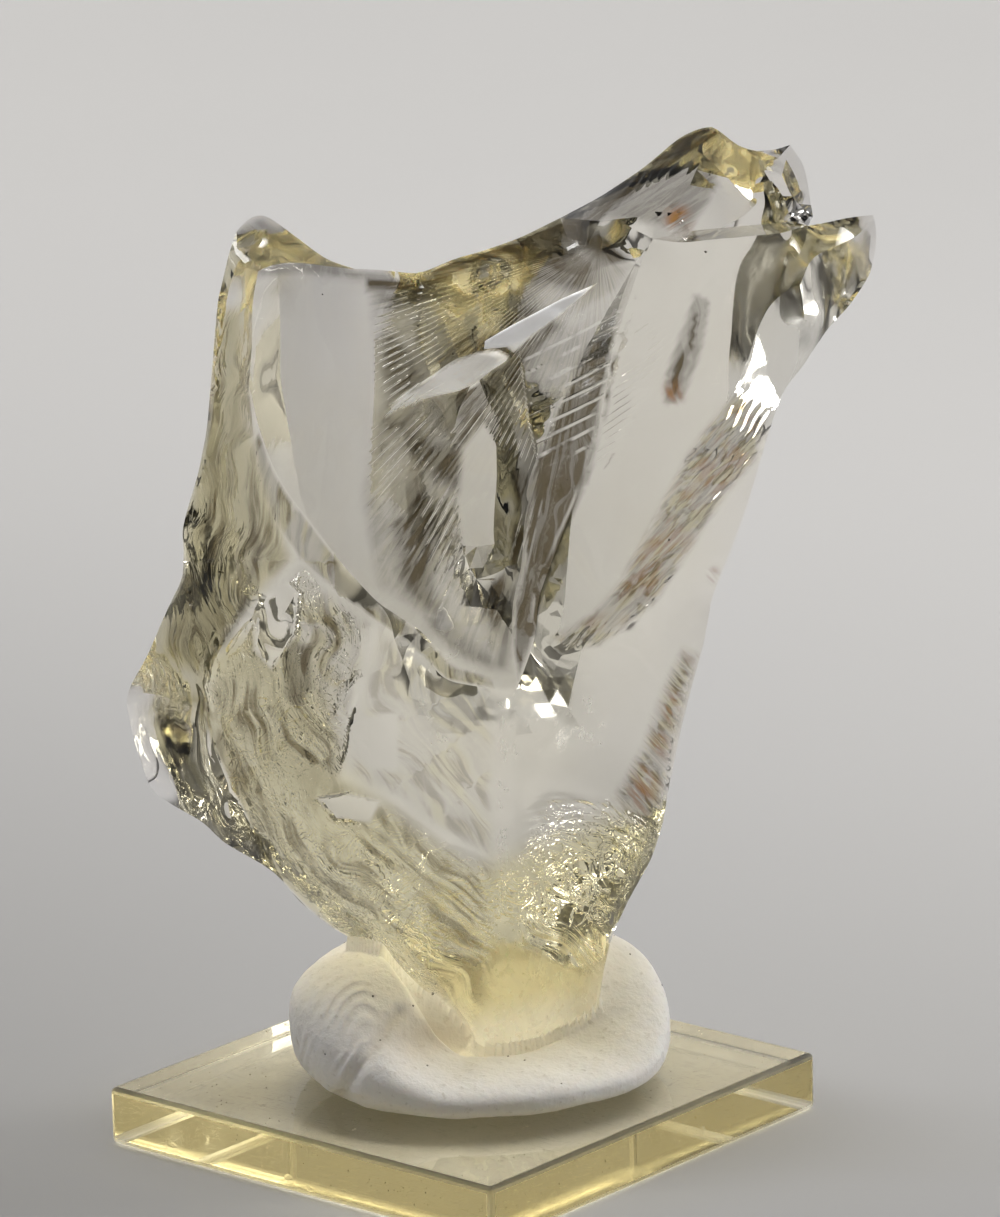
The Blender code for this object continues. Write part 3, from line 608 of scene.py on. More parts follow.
class Finish:
    """A material with a Principled shader, and short ways to add the nodes that drive it."""

    def __init__(self, name, **values):
        self.material = bpy.data.materials.new(name)
        self.material.use_nodes = True
        self.tree = self.material.node_tree
        self.shader = self.tree.nodes["Principled BSDF"]
        self.output = self.tree.nodes["Material Output"]
        for socket, value in values.items():
            self.shader.inputs[socket.replace("_", " ")].default_value = value

    def node(self, kind, inputs=None, **settings):
        return add_node(self.tree, kind, inputs, **settings)

    def maths(self, operation, first, second=None):
        """The result of an operation on one number or two."""
        inputs = {0: first} if second is None else {0: first, 1: second}
        return self.node("ShaderNodeMath", inputs, operation=operation).outputs[0]

    def places(self, scale=(1.0, 1.0, 1.0), turn=(0.0, 0.0, 0.0)):
        """Object coordinates, turned and stretched."""
        coords = self.node("ShaderNodeTexCoord").outputs["Object"]
        inputs = {"Vector": coords, "Scale": scale, "Rotation": turn}
        return self.node("ShaderNodeMapping", inputs).outputs[0]

    def noise(self, places, scale, detail=3.0, roughness=0.5, distortion=0.0):
        """Noise with values about 0.5."""
        inputs = {
            "Vector": places, "Scale": scale, "Detail": detail, "Roughness": roughness,
            "Distortion": distortion,
        }
        return self.node("ShaderNodeTexNoise", inputs).outputs[0]

    def ramp(self, value, low, high, start=0.0, end=1.0):
        return add_ramp(self.tree, value, low, high, start, end)

    def times(self, first, second):
        return self.maths("MULTIPLY", first, second)

    def share(self, name):
        """A number kept at the piece's points."""
        return self.node("ShaderNodeAttribute", attribute_name=name).outputs["Fac"]

    def kept_places(self, name, scale, turn=0.0):
        """Coordinates kept at the piece's points, turned in their plane and then stretched."""
        places = self.node("ShaderNodeAttribute", attribute_name=name).outputs["Vector"]
        turned = self.node("ShaderNodeMapping", {"Vector": places, "Rotation": (0.0, 0.0, turn)}).outputs[0]
        return self.node("ShaderNodeMapping", {"Vector": turned, "Scale": scale}).outputs[0]

    def colours(self, share, first, second):
        """Colour that goes from first to second as share goes from 0 to 1."""
        inputs = {0: share}
        for index, colour in ((6, first), (7, second)):
            inputs[index] = colour if isinstance(colour, bpy.types.NodeSocket) else (*colour, 1.0)
        return self.node("ShaderNodeMix", inputs, data_type="RGBA").outputs[2]

    def bump(self, height, distance, strength=1.0, normal=None):
        """Normal of a fine relief whose height runs from 0 to 1 over a distance in metres."""
        inputs = {"Height": height, "Distance": distance, "Strength": strength}
        if normal is not None:
            inputs["Normal"] = normal
        return self.node("ShaderNodeBump", inputs).outputs[0]

    def set(self, **sockets):
        """Drive the shader's inputs from node sockets."""
        for name, socket in sockets.items():
            self.tree.links.new(socket, self.shader.inputs[name.replace("_", " ")])

    def slanted(self, most):
        """A number that is 0 on faces square to the axes and reaches its most on slanting ones."""
        normal = self.node("ShaderNodeNewGeometry").outputs["True Normal"]
        size = self.node("ShaderNodeVectorMath", {0: normal}, operation="ABSOLUTE").outputs[0]
        parts = self.node("ShaderNodeSeparateXYZ", {0: size}).outputs
        widest = self.maths("MAXIMUM", self.maths("MAXIMUM", parts[0], parts[1]), parts[2])
        return self.ramp(widest, 0.999, 0.97, 0.0, most)

    def let_lamps_through(self, tint):
        """Glass whose shadow is a pale tint, so that what it shuts in is lit."""
        lamp_ray = self.node("ShaderNodeLightPath").outputs["Is Shadow Ray"]
        pane = self.node("ShaderNodeBsdfTransparent", {"Color": (*tint, 1.0)}).outputs[0]
        mixed = self.node("ShaderNodeMixShader", {0: lamp_ray, 1: self.shader.outputs[0], 2: pane})
        self.tree.links.new(mixed.outputs[0], self.output.inputs["Surface"])

    def absorb(self, colour, density):
        """Colour that the glass takes on with depth."""
        volume = self.node("ShaderNodeVolumeAbsorption", {"Color": (*colour, 1.0), "Density": density})
        self.tree.links.new(volume.outputs[0], self.output.inputs["Volume"])


def straw_glass(look):
    """Clear straw-yellow glass, with olive and brown painted shade streaked in its deep breaks, hackles
    whose lines are painted pale as painted highlights, and rust.
    """
    glass = Finish("straw_glass", IOR=look.ior, Transmission_Weight=1.0)
    fibres = glass.noise(glass.kept_places("grain", (0.010, 0.085, 1.0)), 1.0, 5.0, 0.6, 0.7)
    pools = glass.noise(glass.kept_places("grain", (0.012, 0.030, 1.0)), 1.0, 3.0, 0.5, 1.5)
    grain = glass.ramp(fibres, 0.42, 0.60)
    pooled = glass.ramp(pools, 0.38, 0.62)

    ripple = glass.noise(glass.places(scale=(1.0, 1.0, 0.45)), 420.0, 4.0, 0.55, 0.6)
    ripples = glass.bump(ripple, RIPPLE_HEIGHT, 0.35)
    strands = glass.noise(glass.kept_places("grain", (0.011, 0.062, 1.0)), 1.0, 3.0, 0.5, 1.0)
    torn = glass.bump(glass.times(strands, glass.share("torn")), STRAND_HEIGHT, 1.0, ripples)
    curls = glass.noise(glass.places(), 700.0, 2.0, 0.5, 2.4)
    creases = glass.maths("ABSOLUTE", glass.maths("SUBTRACT", curls, 0.5))
    creased = glass.times(glass.ramp(creases, 0.0, 0.09), glass.share("crinkle"))
    torn = glass.bump(creased, CREASE_HEIGHT, 1.0, torn)
    wave = glass.maths("SINE", glass.share("hackle_phase"))
    broken = glass.ramp(glass.noise(glass.kept_places("sheet", (0.03, 0.03, 1.0)), 1.0, 3.0), 0.40, 0.56)
    lines = glass.times(glass.times(glass.ramp(wave, 0.45, 0.98), glass.share("hackle_share")), broken)
    glass.set(Normal=glass.bump(lines, HACKLE_LINE_HEIGHT, 0.8, torn))

    haze = glass.ramp(glass.noise(glass.places(), 260.0, 3.0), 0.35, 0.75)
    clear = glass.colours(haze, (1.0, 0.985, 0.98), (0.975, 0.955, 0.93))
    # Painted shade: olive and brown darken the glass's colour where the glass looks dark from trapped
    # light.
    olive = glass.colours(grain, look.straw, look.olive)
    olive_shade_share = glass.times(glass.share("olive"), glass.ramp(pooled, 0.0, 1.0, 0.25, 1.0))
    veiled = glass.colours(glass.share("veil"), clear, look.veil)
    with_olive_shade = glass.colours(olive_shade_share, veiled, olive)
    brown_shade_share = glass.times(glass.share("brown"), glass.ramp(grain, 0.0, 1.0, 0.82, 1.0))
    with_painted_shade = glass.colours(brown_shade_share, with_olive_shade, look.brown)
    # Painted highlight: the hackle lines are painted near white over the painted shade.
    with_painted_highlights = glass.colours(glass.times(lines, 0.85), with_painted_shade, (1.0, 1.0, 0.98))
    strokes = glass.noise(glass.kept_places("grain", (0.009, 0.075, 1.0)), 1.0, 4.0, 0.6, 0.6)
    stain = glass.times(glass.ramp(strokes, 0.43, 0.56), glass.share("stain"))
    glass.set(Base_Color=glass.colours(stain, with_painted_highlights, look.rust))

    etching = glass.noise(glass.places(scale=(1.0, 1.0, 0.6)), 1500.0, 5.0, 0.7)
    frost = glass.times(glass.ramp(etching, 0.40, 0.70, 0.5, 1.0), glass.share("frost"))
    fibrous = glass.times(grain, glass.share("torn"))
    frosted = glass.ramp(frost, 0.0, 1.0, 0.0, 0.35)
    glass.set(Roughness=glass.maths("ADD", frosted, glass.ramp(fibrous, 0.0, 1.0, 0.0, 0.02)))
    glass.absorb(look.tint, look.tint_density)
    glass.let_lamps_through((0.70, 0.67, 0.58))
    return glass.material


def white_putty(look):
    """Matte off-white putty with a little light under the skin, finger grease, grey grains, and colour that
    is darker in its hollow and along its fold.
    """
    putty = Finish(
        "white_putty", Roughness=0.62, IOR=1.46, Subsurface_Weight=0.25, Subsurface_Scale=0.6 * MM,
        Specular_IOR_Level=0.35,
    )
    putty.shader.inputs["Subsurface Radius"].default_value = (1.0, 0.8, 0.6)
    broad = putty.noise(putty.places(), 190.0, 4.0, 0.55)
    fine = putty.noise(putty.places(), 2600.0, 3.0, 0.6)
    pale = putty.colours(putty.ramp(broad, 0.36, 0.66), look.colour, look.greased)
    mottled = putty.colours(putty.ramp(fine, 0.58, 0.74, 0.0, 0.5), pale, look.fleck)
    # Darker, browner colour in the hollow and along the fold.
    putty.set(Base_Color=putty.colours(putty.share("hollow"), mottled, look.hollow))
    putty.set(Roughness=putty.ramp(broad, 0.3, 0.7, 0.5, 0.72))
    pores = putty.bump(putty.ramp(fine, 0.35, 0.65), PORE_DEPTH, 0.9)
    wave = putty.maths("SINE", putty.share("ridge_phase"))
    ridges = putty.times(putty.ramp(wave, -0.4, 0.8), putty.share("ridge_share"))
    putty.set(Normal=putty.bump(ridges, FINE_RIDGE_HEIGHT, 0.8, pores))
    return putty.material


def clear_acrylic(look):
    """Cast acrylic, faintly yellow through its depth, with fine scratches on its faces."""
    plate = Finish("clear_acrylic", Roughness=0.02, IOR=look.ior, Transmission_Weight=1.0)
    scratch_a = plate.noise(plate.places(scale=(1.0, 14.0, 1.0), turn=(0.0, 0.0, 0.6)), 900.0, 2.0)
    scratch_b = plate.noise(plate.places(scale=(16.0, 1.0, 1.0), turn=(0.0, 0.0, 0.25)), 700.0, 2.0)
    scratches = plate.maths("ADD", plate.ramp(scratch_a, 0.66, 0.72), plate.ramp(scratch_b, 0.67, 0.73))
    plate.set(Normal=plate.bump(scratches, SCRATCH_DEPTH, 0.5))
    smears = plate.ramp(plate.noise(plate.places(), 160.0, 4.0, 0.6), 0.45, 0.75, 0.015, 0.09)
    worn = plate.maths("ADD", smears, plate.times(scratches, 0.08))
    plate.set(Roughness=plate.maths("ADD", worn, plate.slanted(0.6)))
    film = plate.ramp(plate.noise(plate.places(), 330.0, 3.0), 0.4, 0.7)
    plate.set(Base_Color=plate.colours(film, (0.985, 0.97, 0.93), (0.96, 0.935, 0.86)))
    plate.absorb(look.tint, look.tint_density)
    plate.let_lamps_through((0.97, 0.96, 0.90))
    return plate.material


def stone_grain(name, colour, roughness):
    """A small opaque grain, uneven in colour."""
    grain = Finish(name, Roughness=roughness)
    speckle = grain.ramp(grain.noise(grain.places(), 5200.0, 3.0), 0.35, 0.65)
    darker = tuple(0.55 * part for part in colour)
    grain.set(Base_Color=grain.colours(speckle, colour, darker))
    return grain.material


def pale_floor(look):
    """Plain pale floor with the faintest unevenness."""
    floor = Finish("pale_floor", Roughness=0.9, Specular_IOR_Level=0.1)
    cloud = floor.ramp(floor.noise(floor.places(), 14.0, 3.0), 0.3, 0.7)
    darker = tuple(0.985 * part for part in look.floor)
    floor.set(Base_Color=floor.colours(cloud, look.floor, darker))
    return floor.material


# ---------------------------------------------------------------- shard


def hackle_phase(places):
    """Turns of the hackle lines: a fan from one eye over the scoop, and straight steps across its wall."""
    offset = places - HACKLE_EYE
    phase = np.arctan2(offset[:, 1], -offset[:, 0]) / FAN_STEP + sized_noise(places, *FAN_WAVER)
    for zone, across, spacing, wander, grain in STRAIGHT_HACKLES:
        steps = places @ across / spacing + sized_noise(places, wander, grain)
        phase = np.where(inside(places, zone), steps, phase)
    return phase


def terraces(phase, drop):
    """Slow rise and sharp drop, once for each turn of the phase."""
    share = phase - np.floor(phase)
    return np.where(share < 1 - drop, share / (1 - drop), (1 - share) / drop)


def folded(value):
    """Sharp crests where smooth noise changes sign."""
    return 1.0 - 2.5 * np.abs(value)


def window_share(places):
    """1 inside the small clear facets."""
    return np.max([zone_share(places, ring, WINDOW_EDGE) for ring in WINDOWS], axis=0)


def most_share(places, rows):
    """The largest of several zones' shares at each place."""
    return np.max([most * zone_share(places, zone, feather) for zone, feather, most in rows], axis=0)


def shard_relief(points, normals, look):
    """How far in metres every point of the shard stands out along its normal."""
    places = sheet_places(points)
    distance = np.linalg.norm(np.array(eye_matrix().translation) - points, axis=1)
    facing = reach_to_eye(points, normals) / distance
    front, back = smooth_ramp(facing, *FACING), smooth_ramp(-facing, *FACING)
    tear = tear_places(places)
    closed = 1.0 - window_share(places)

    relief = np.zeros(len(places))
    crumpled = (CRUMPLES, look.crumple * closed * front, look.crumple * back)
    for rows, front_share, back_share in (crumpled, (WAVES, front, back)):
        for zone, feather, on_tear, grain, sharp, at_front, at_back in rows:
            wave = noise_over(tear if on_tear else places, *grain)
            wave = folded(wave) if sharp else wave
            height = at_front * front_share + at_back * back_share
            relief += zone_share(places, zone, feather) * wave * height
    for zone, feather, across, spacing, grain, height in TERRACED:
        steps = places @ across / spacing + noise_over(places, *grain)
        relief += height * zone_share(places, zone, feather) * terraces(steps, TERRACE_DROP) * front
    relief += look.hackle * hackle_share(places) * terraces(hackle_phase(places), TERRACE_DROP) * front

    ring = np.linalg.norm((places - SHELL_EYE) * SHELL_SQUASH, axis=1)
    ring = ring + sized_noise(places, *ARC_WANDER)
    arcs = np.sin(2 * np.pi * ring / ARC_SPACING) * smooth_ramp(ring, *ARC_REACH)
    relief += ARC_HEIGHT * zone_share(places, SHELL, SHELL_EDGE) * arcs * front
    scoop = zone_share(places, SCOOP, SCOOP_EDGE) * (1.0 - zone_share(places, WALL, SCOOP_WALL_EDGE))
    relief += SCOOP_RIPPLE_HEIGHT * scoop * noise_over(places, *SCOOP_RIPPLE) * front
    return relief * MM


def hackle_share(places):
    """How clearly the hackle lines show at each place."""
    fan = zone_share(places, HACKLED_SCOOP, FAN_EDGE) * ~inside(places, WALL_HACKLES)
    strength = smooth_ramp(noise_over(places, *HACKLE_GAPS), *HACKLE_GAP_ENDS)
    bare = 1.0 - zone_share(places, OVAL, OVAL_EDGE)
    return np.maximum(fan * strength * bare, most_share(places, STRAIGHT_SHARES))


def mark_finishes(piece, points, normals):
    """Keep the coordinates and shares that the glass's finish reads, the painted shade among them, at the
    shard's points.
    """
    places = sheet_places(points)
    front = smooth_ramp(reach_to_eye(points, normals), *GLASS_FRONT)
    closed = 1.0 - window_share(places)
    store_places(piece, "sheet", places)
    store_places(piece, "grain", grain_places(places))
    store_share(piece, "hackle_phase", 2 * np.pi * hackle_phase(places))
    store_share(piece, "hackle_share", hackle_share(places) * front)

    # Painted shade: olive and brown shares, on the faces towards the eye, thinned at the skirt's foot, in
    # blotches and in paler patches.
    olive, brown = np.zeros(len(places)), np.zeros(len(places))
    for zone, feather, olive_shade_share, brown_shade_share in PAINTED_SHADE_TONES:
        share = zone_share(places, zone, feather)
        olive = np.maximum(olive, olive_shade_share * share)
        brown = np.maximum(brown, brown_shade_share * share)
    for zone, feather, bareness in PALER_SHADE_PATCHES:
        bare = 1.0 - bareness * zone_share(places, zone, feather)
        olive, brown = olive * bare, brown * bare
    foot = zone_share(places, SKIRT, SKIRT_EDGE) * smooth_ramp(places[:, 1], *SKIRT_FOOT)
    blotch = smooth_ramp(noise_over(places, *BLOTCHES), *BLOTCH_ENDS)
    patchy = zone_share(places, HACKLED_SCOOP, SCOOP_TONE_EDGE) * ~inside(places, WALL)
    blotched = 1.0 - BLOTCH_SHARE * blotch * patchy
    kept_veil = WINDOW_VEIL + (1.0 - WINDOW_VEIL) * closed
    store_share(piece, "olive", olive * closed * (1.0 - FOOT_THINNING * foot) * front)
    store_share(piece, "brown", brown * closed * (1.0 - foot) * blotched * front)
    store_share(piece, "veil", most_share(places, VEILED) * kept_veil * front)

    stain = sum(most * zone_share(places, zone, feather) for zone, feather, most in STAINED)
    for centre, reach in STAIN_SPOTS:
        distance = np.linalg.norm(places - centre, axis=1)
        stain = stain + smooth_ramp(distance, reach, STAIN_CORE * reach)
    patches = smooth_ramp(noise_over(places, *STAIN_PATCHES), *STAIN_ENDS)
    store_share(piece, "stain", np.clip(stain * patches * front, 0.0, 1.0))
    store_share(piece, "torn", most_share(places, TORN) * closed * front)
    store_share(piece, "crinkle", most_share(places, CREASED) * closed * front)
    frost = np.zeros(len(places))
    for zone, feather, at_front, at_back in FROSTED:
        most = np.where(front > 0.5, at_front, at_back)
        frost = np.maximum(frost, most * zone_share(places, zone, feather))
    store_share(piece, "frost", frost)


def build_shard(look):
    """The broken glass, smoothed from the model's net and then rippled, hackled and crumpled."""
    points, triangles, creases = merged_net("andara_glass_shard")
    for _ in range(SMOOTHINGS):
        everything = np.ones(len(triangles), bool)
        points, triangles, creases = smooth_net(points, triangles, creases, everything)
    places = sheet_places(points[triangles].mean(axis=1))
    reach = reach_to_eye(points, net_normals(points, triangles))
    towards = reach[triangles].min(axis=1) > 0
    want = np.zeros(len(triangles))
    for zone, at_front, at_back in FINE_ZONES:
        want = np.maximum(want, np.where(towards, at_front, at_back) * zone_share(places, zone, 1.0))
    room = (SHARD_TRIANGLES - len(triangles)) // 3
    chosen = np.zeros(len(triangles), bool)
    ranked = np.argsort(-want, kind="stable")[:room]
    chosen[ranked[want[ranked] > 0]] = True
    points, triangles, creases = smooth_net(points, triangles, creases, chosen)
    normals = net_normals(points, triangles)
    points = points + shard_relief(points, normals, look)[:, None] * normals
    piece = piece_from_net("andara_glass", points, triangles, straw_glass(look), creases)
    mark_finishes(piece, points, net_normals(points, triangles))
    return piece


# ---------------------------------------------------------------- inclusions in the glass

# Depths in mm, behind the upright axis.
LEAF_STEP = 0.25  # between the crack's two leaves
CRACK_DEPTH = 3.4
SMALL_FLAKE = [(432, 636), (436, 618), (442, 613), (448, 622), (452, 634), (443, 639)]
FLAKE_DEPTH = -2.2
LEAF_SLANT = 0.004  # mm deeper for each sheet step to the right
LEAF_THICKNESS = 0.10 * MM
FLAKE_THICKNESS = 0.12 * MM
LENS_SHARES = (0.0, 0.25, 0.5, 0.75)  # rings of a lens, from its rim inwards
LENS_RIPPLE = (0.35, 2600.0)  # share of the thickness, and how many to a metre
CRACK_RIPPLE_HEIGHT = 0.02 * MM


def flake_net(ring, away, slant, thickness):
    """A thin closed lens on a ring of marks: its rim is sharp and it is thickest inside."""
    centre = np.array(ring, float).mean(axis=0)
    rim = [place_mark(x, y, away + slant * (x - centre[0])) for x, y in ring]
    eye = eye_matrix().translation
    middle = sum(rim, Vector()) / len(rim)
    size, scale = LENS_RIPPLE
    points = []
    for side in (1.0, -1.0):
        for share in LENS_SHARES[(side < 0):]:
            for at in rim:
                inner = at.lerp(middle, share)
                lift = side * thickness * math.sqrt(share) * 0.5
                ripple = size * thickness * noise.noise(inner * scale) * share
                points.append(inner + (eye - inner).normalized() * (lift + ripple))
        points.append(middle + (eye - middle).normalized() * side * thickness * 0.5)
    count, rings = len(rim), len(LENS_SHARES)
    front = np.arange(rings * count).reshape(rings, count)
    rear = np.concatenate([front[:1], rings * count + 1 + front[:-1]])
    triangles = []
    for rows, tip, flip in ((front, rings * count, False), (rear, len(points) - 1, True)):
        for i in range(count):
            j = (i + 1) % count
            strip = [(rows[-1][i], rows[-1][j], tip)]
            for low, high in zip(rows, rows[1:]):
                strip += [(low[i], low[j], high[j]), (low[i], high[j], high[i])]
            triangles += [tri[::-1] for tri in strip] if flip else strip
    return np.array(points), np.array(triangles)


def white_fracture(painted_glow):
    """Silvery white inner face of a crack, with painted light: it glows by emission, which stands for the
    light that it turns back.
    """
    crack = Finish("crack_white", Roughness=0.35, IOR=1.33, Specular_IOR_Level=0.6, Emission_Strength=painted_glow)
    cloud = crack.ramp(crack.noise(crack.places(scale=(1.0, 1.0, 2.2)), 520.0, 4.0), 0.3, 0.7)
    silver = crack.colours(cloud, (0.95, 0.95, 0.96), (0.74, 0.73, 0.72))
    # Painted light: the silver colour also glows by emission.
    crack.set(Base_Color=silver, Emission_Color=silver)
    crack.set(Normal=crack.bump(cloud, CRACK_RIPPLE_HEIGHT, 0.5))
    return crack.material


def build_cracks(look):
    """The two leaves of the white crack in the scoop, and the flake below it, one mesh."""
    leaves = (
        flake_net(LOWER_LEAF, look.crack_depth, LEAF_SLANT, LEAF_THICKNESS),
        flake_net(UPPER_LEAF, look.crack_depth - LEAF_STEP, LEAF_SLANT, LEAF_THICKNESS),
        flake_net(SMALL_FLAKE, FLAKE_DEPTH, 0.0, FLAKE_THICKNESS),
    )
    starts = np.cumsum([0] + [len(points) for points, _ in leaves])
    points = np.concatenate([points for points, _ in leaves])
    triangles = np.concatenate([triangles + start for (_, triangles), start in zip(leaves, starts)])
    return piece_from_net("inner_cracks", points, triangles, white_fracture(look.crack_painted_glow))


FULL_TURN = (6.28, 6.28, 6.28)  # about each axis


class ScatterTree:
    """A Geometry Nodes tree that strews small shapes over a surface, each sunk by a random depth."""

    def __init__(self, name, material, shape):
        self.tree = bpy.data.node_groups.new(name, "GeometryNodeTree")
        self.sockets = {}
        self.add_socket("Geometry", "INPUT", "NodeSocketGeometry")
        for title in ("Per square metre", "Smallest", "Largest", "Least depth", "Most depth"):
            self.add_socket(title, "INPUT", "NodeSocketFloat")
        self.add_socket("Seed", "INPUT", "NodeSocketInt")
        self.add_socket("Geometry", "OUTPUT", "NodeSocketGeometry")
        given = self.add("NodeGroupInput").outputs
        points = self.add("GeometryNodeDistributePointsOnFaces", {
            "Mesh": given["Geometry"], "Density": given["Per square metre"], "Seed": given["Seed"],
        })
        depth = self.chance(given["Least depth"], given["Most depth"], given["Seed"])
        lift = {0: points.outputs["Normal"], "Scale": depth}
        sink = self.add("ShaderNodeVectorMath", lift, operation="SCALE")
        turn_in = {0: sink.outputs[0], 1: (-1.0, -1.0, -1.0)}
        inward = self.add("ShaderNodeVectorMath", turn_in, operation="MULTIPLY")
        shift = {"Geometry": points.outputs["Points"], "Offset": inward.outputs[0]}
        moved = self.add("GeometryNodeSetPosition", shift)
        size = self.chance(given["Smallest"], given["Largest"], given["Seed"])
        spins = {0: (0.0, 0.0, 0.0), 1: FULL_TURN}
        spin = self.add("FunctionNodeRandomValue", spins, data_type="FLOAT_VECTOR")
        placed = self.add("GeometryNodeInstanceOnPoints", {
            "Points": moved.outputs[0], "Instance": shape(self), "Rotation": spin.outputs[0], "Scale": size,
        })
        real = self.add("GeometryNodeRealizeInstances", {"Geometry": placed.outputs[0]})
        painted = self.add("GeometryNodeSetMaterial", {"Geometry": real.outputs[0], "Material": material})
        result = self.add("NodeGroupOutput")
        self.tree.links.new(painted.outputs[0], result.inputs["Geometry"])

    def add_socket(self, title, way, kind):
        socket = self.tree.interface.new_socket(title, in_out=way, socket_type=kind)
        if way == "INPUT":
            self.sockets[title] = socket.identifier

    def add(self, kind, inputs=None, **settings):
        return add_node(self.tree, kind, inputs, **settings)

    def chance(self, low, high, seed):
        """A random number for each point, between two input sockets."""
        inputs = {2: low, 3: high, "Seed": seed}
        return self.add("FunctionNodeRandomValue", inputs, data_type="FLOAT").outputs[1]

    def strew(self, name, points, triangles, values):
        """Run the tree over a net and return the plain mesh piece that it makes."""
        base = bpy.data.meshes.new(name + "_base")
        base.from_pydata(points.tolist(), [], triangles.tolist())
        carrier = add_object(name + "_base", base)
        modifier = carrier.modifiers.new("strew", "NODES")
        modifier.node_group = self.tree
        for title, value in values.items():
            modifier[self.sockets[title]] = value
        graph = bpy.context.evaluated_depsgraph_get()
        mesh = bpy.data.meshes.new_from_object(carrier.evaluated_get(graph))
        mesh.name = name
        bpy.data.objects.remove(carrier)
        if not mesh.polygons:
            raise RuntimeError(name + " came out empty")
        return add_object(name, mesh)


def lumpy_grain(tree):
    """A small uneven grain one unit across."""
    ball = tree.add("GeometryNodeMeshIcoSphere", {"Radius": 0.5, "Subdivisions": 2})
    place = tree.add("GeometryNodeInputPosition").outputs[0]
    bumps = tree.add("ShaderNodeTexNoise", {"Vector": place, "Scale": 2.4, "Detail": 1.0}).outputs[1]
    centred = tree.add("ShaderNodeVectorMath", {0: bumps, 1: (0.5, 0.5, 0.5)}, operation="SUBTRACT")
    inputs = {0: centred.outputs[0], 1: (0.6, 0.6, 0.6)}
    offset = tree.add("ShaderNodeVectorMath", inputs, operation="MULTIPLY").outputs[0]
    return tree.add("GeometryNodeSetPosition", {"Geometry": ball.outputs[0], "Offset": offset}).outputs[0]


def build_specks(look):
    """Tiny dark specks sealed in the glass."""
    points, triangles, _ = merged_net("andara_glass_shard")
    speck = ScatterTree("strew_specks", stone_grain("dark_speck", (0.10, 0.09, 0.07), 0.5), lumpy_grain)
    return speck.strew("glass_specks", points, triangles, {
        "Per square metre": look.speck_density, "Smallest": 0.05 * MM, "Largest": 0.13 * MM,
        "Least depth": 0.35 * MM, "Most depth": 1.3 * MM, "Seed": 11,
    })


# ---------------------------------------------------------------- putty

PLATE_SIDE = 25.4 * MM
PLATE_THICKNESS = 3.0 * MM
# The lump's shape. It follows the model's source, apart from its foot and its backing.
PUTTY_FOOT = 3.02 * MM  # a hair of air under it
PUTTY_RADIUS = 9.3 * MM
PUTTY_HEIGHT = 6.9 * MM
PUTTY_LIP_HEIGHT = 2.3 * MM
PUTTY_CENTRE_HEIGHT = 1.2 * MM
PUTTY_BACKING_HEIGHT = 5.4 * MM  # where it is pressed up against the back of the tip
PUTTY_BACKING_SPREAD = (math.radians(70), math.radians(120))
PUTTY_CENTRE = (0.85 * MM, 0.0)
PUTTY_SQUARENESS = 2.7
PUTTY_WAIST = 0.42
PUTTY_FOOT_DROP = 1.35
PUTTY_CROWN = (0.90, 1.0)  # sines of the tilt, over which the crown sinks to its middle
PUTTY_LOBES = ((2, -0.4, 0.035), (3, 1.1, 0.02))  # how many round the lump, where they start, their share
PUTTY_LIP_TURN = math.radians(-66)
PUTTY_LIP_SPREAD = (math.radians(30), math.radians(88))
PUTTY_FRONT = (-0.02, 0.08)  # heights in metres of the eye above the skin, over which it comes to face it
SKIN_FACING = (-0.05, 0.2)  # the same for its relief, as shares of the eye's distance
PUTTY_FLAT_FOOT = 0.02 * MM  # no relief this near the foot
PUTTY_SPOKES = 440
PUTTY_RINGS = 118
EVEN_SPOKES = 4000
PRINT_TURN = math.radians(205)  # the spokes stand closer together here
PRINT_SPREAD = (0.85, 0.45)
PRINT_CROWDING = 1.6
PRINT_SQUASH = (1.0, 0.72)
# Skin of the putty: heights in mm, and sheet places and widths.
LUMPS = (0.13, 330.0)  # height, and how many to a metre
GRAINS = (0.028, 1500.0)
FOLD_DEPTH, FOLD_WIDTH = 0.26, 7.0
HOLLOW_DEPTH, HOLLOW_PLACE, HOLLOW_WIDTH = 0.55, (418, 1040), (34.0, 26.0)
# Darker colour in the hollow and along the fold: sheet place, widths and shares.
DARKENING_PLACE, DARKENING_WIDTH = (425, 1038), (44.0, 24.0)
DARKENING_SHARE, FOLD_DARKENING_SHARE = 0.6, 0.2
PINCH_HEIGHT, PINCH_NOISE = 0.10, (0.2, 30.0, 8.0, 2.5)
PRINT_FADE = (0.3, 50.0, 30.0, 17.0)
PRINT_FADE_ENDS = (-0.5, 0.1)
PRINT_EDGE = 16.0
PINCH_EDGE = 12.0
PRINT_WAVER = (1.6, (1.0, 46.0, 46.0, 6.6))
# How the glass presses into the putty.
PRESS_REACH = 0.9 * MM  # glass this little above the putty still touches it
PRESS_DEPTH = 0.05 * MM  # the putty goes this far into the glass
HEAP_FLOOR = 0.6 * MM  # above the plate, no heap lower than this
HEAP_HEIGHT, HEAP_WIDTH = 0.20 * MM, 0.8 * MM
PRINT_EYE = (368, 1082)  # its ridges are arcs about this mark
PRINT_RING = [
    (296, 1075), (292, 1030), (300, 985), (330, 962), (372, 970), (384, 1010), (372, 1060), (345, 1098),
    (312, 1100),
]
FOLD = [(398, 1012), (384, 1030), (368, 1052), (352, 1078), (340, 1098)]
PINCH_RING = [(300, 1090), (330, 1078), (372, 1092), (400, 1118), (372, 1130), (318, 1112)]
FLECK_FLOOR = 0.2 * MM  # above the plate, no flecks lower than this


def turn_between(turn, other):
    """Angle between two turns, from 0 to half a turn."""
    return np.abs((turn - other + math.pi) % (2 * math.pi) - math.pi)


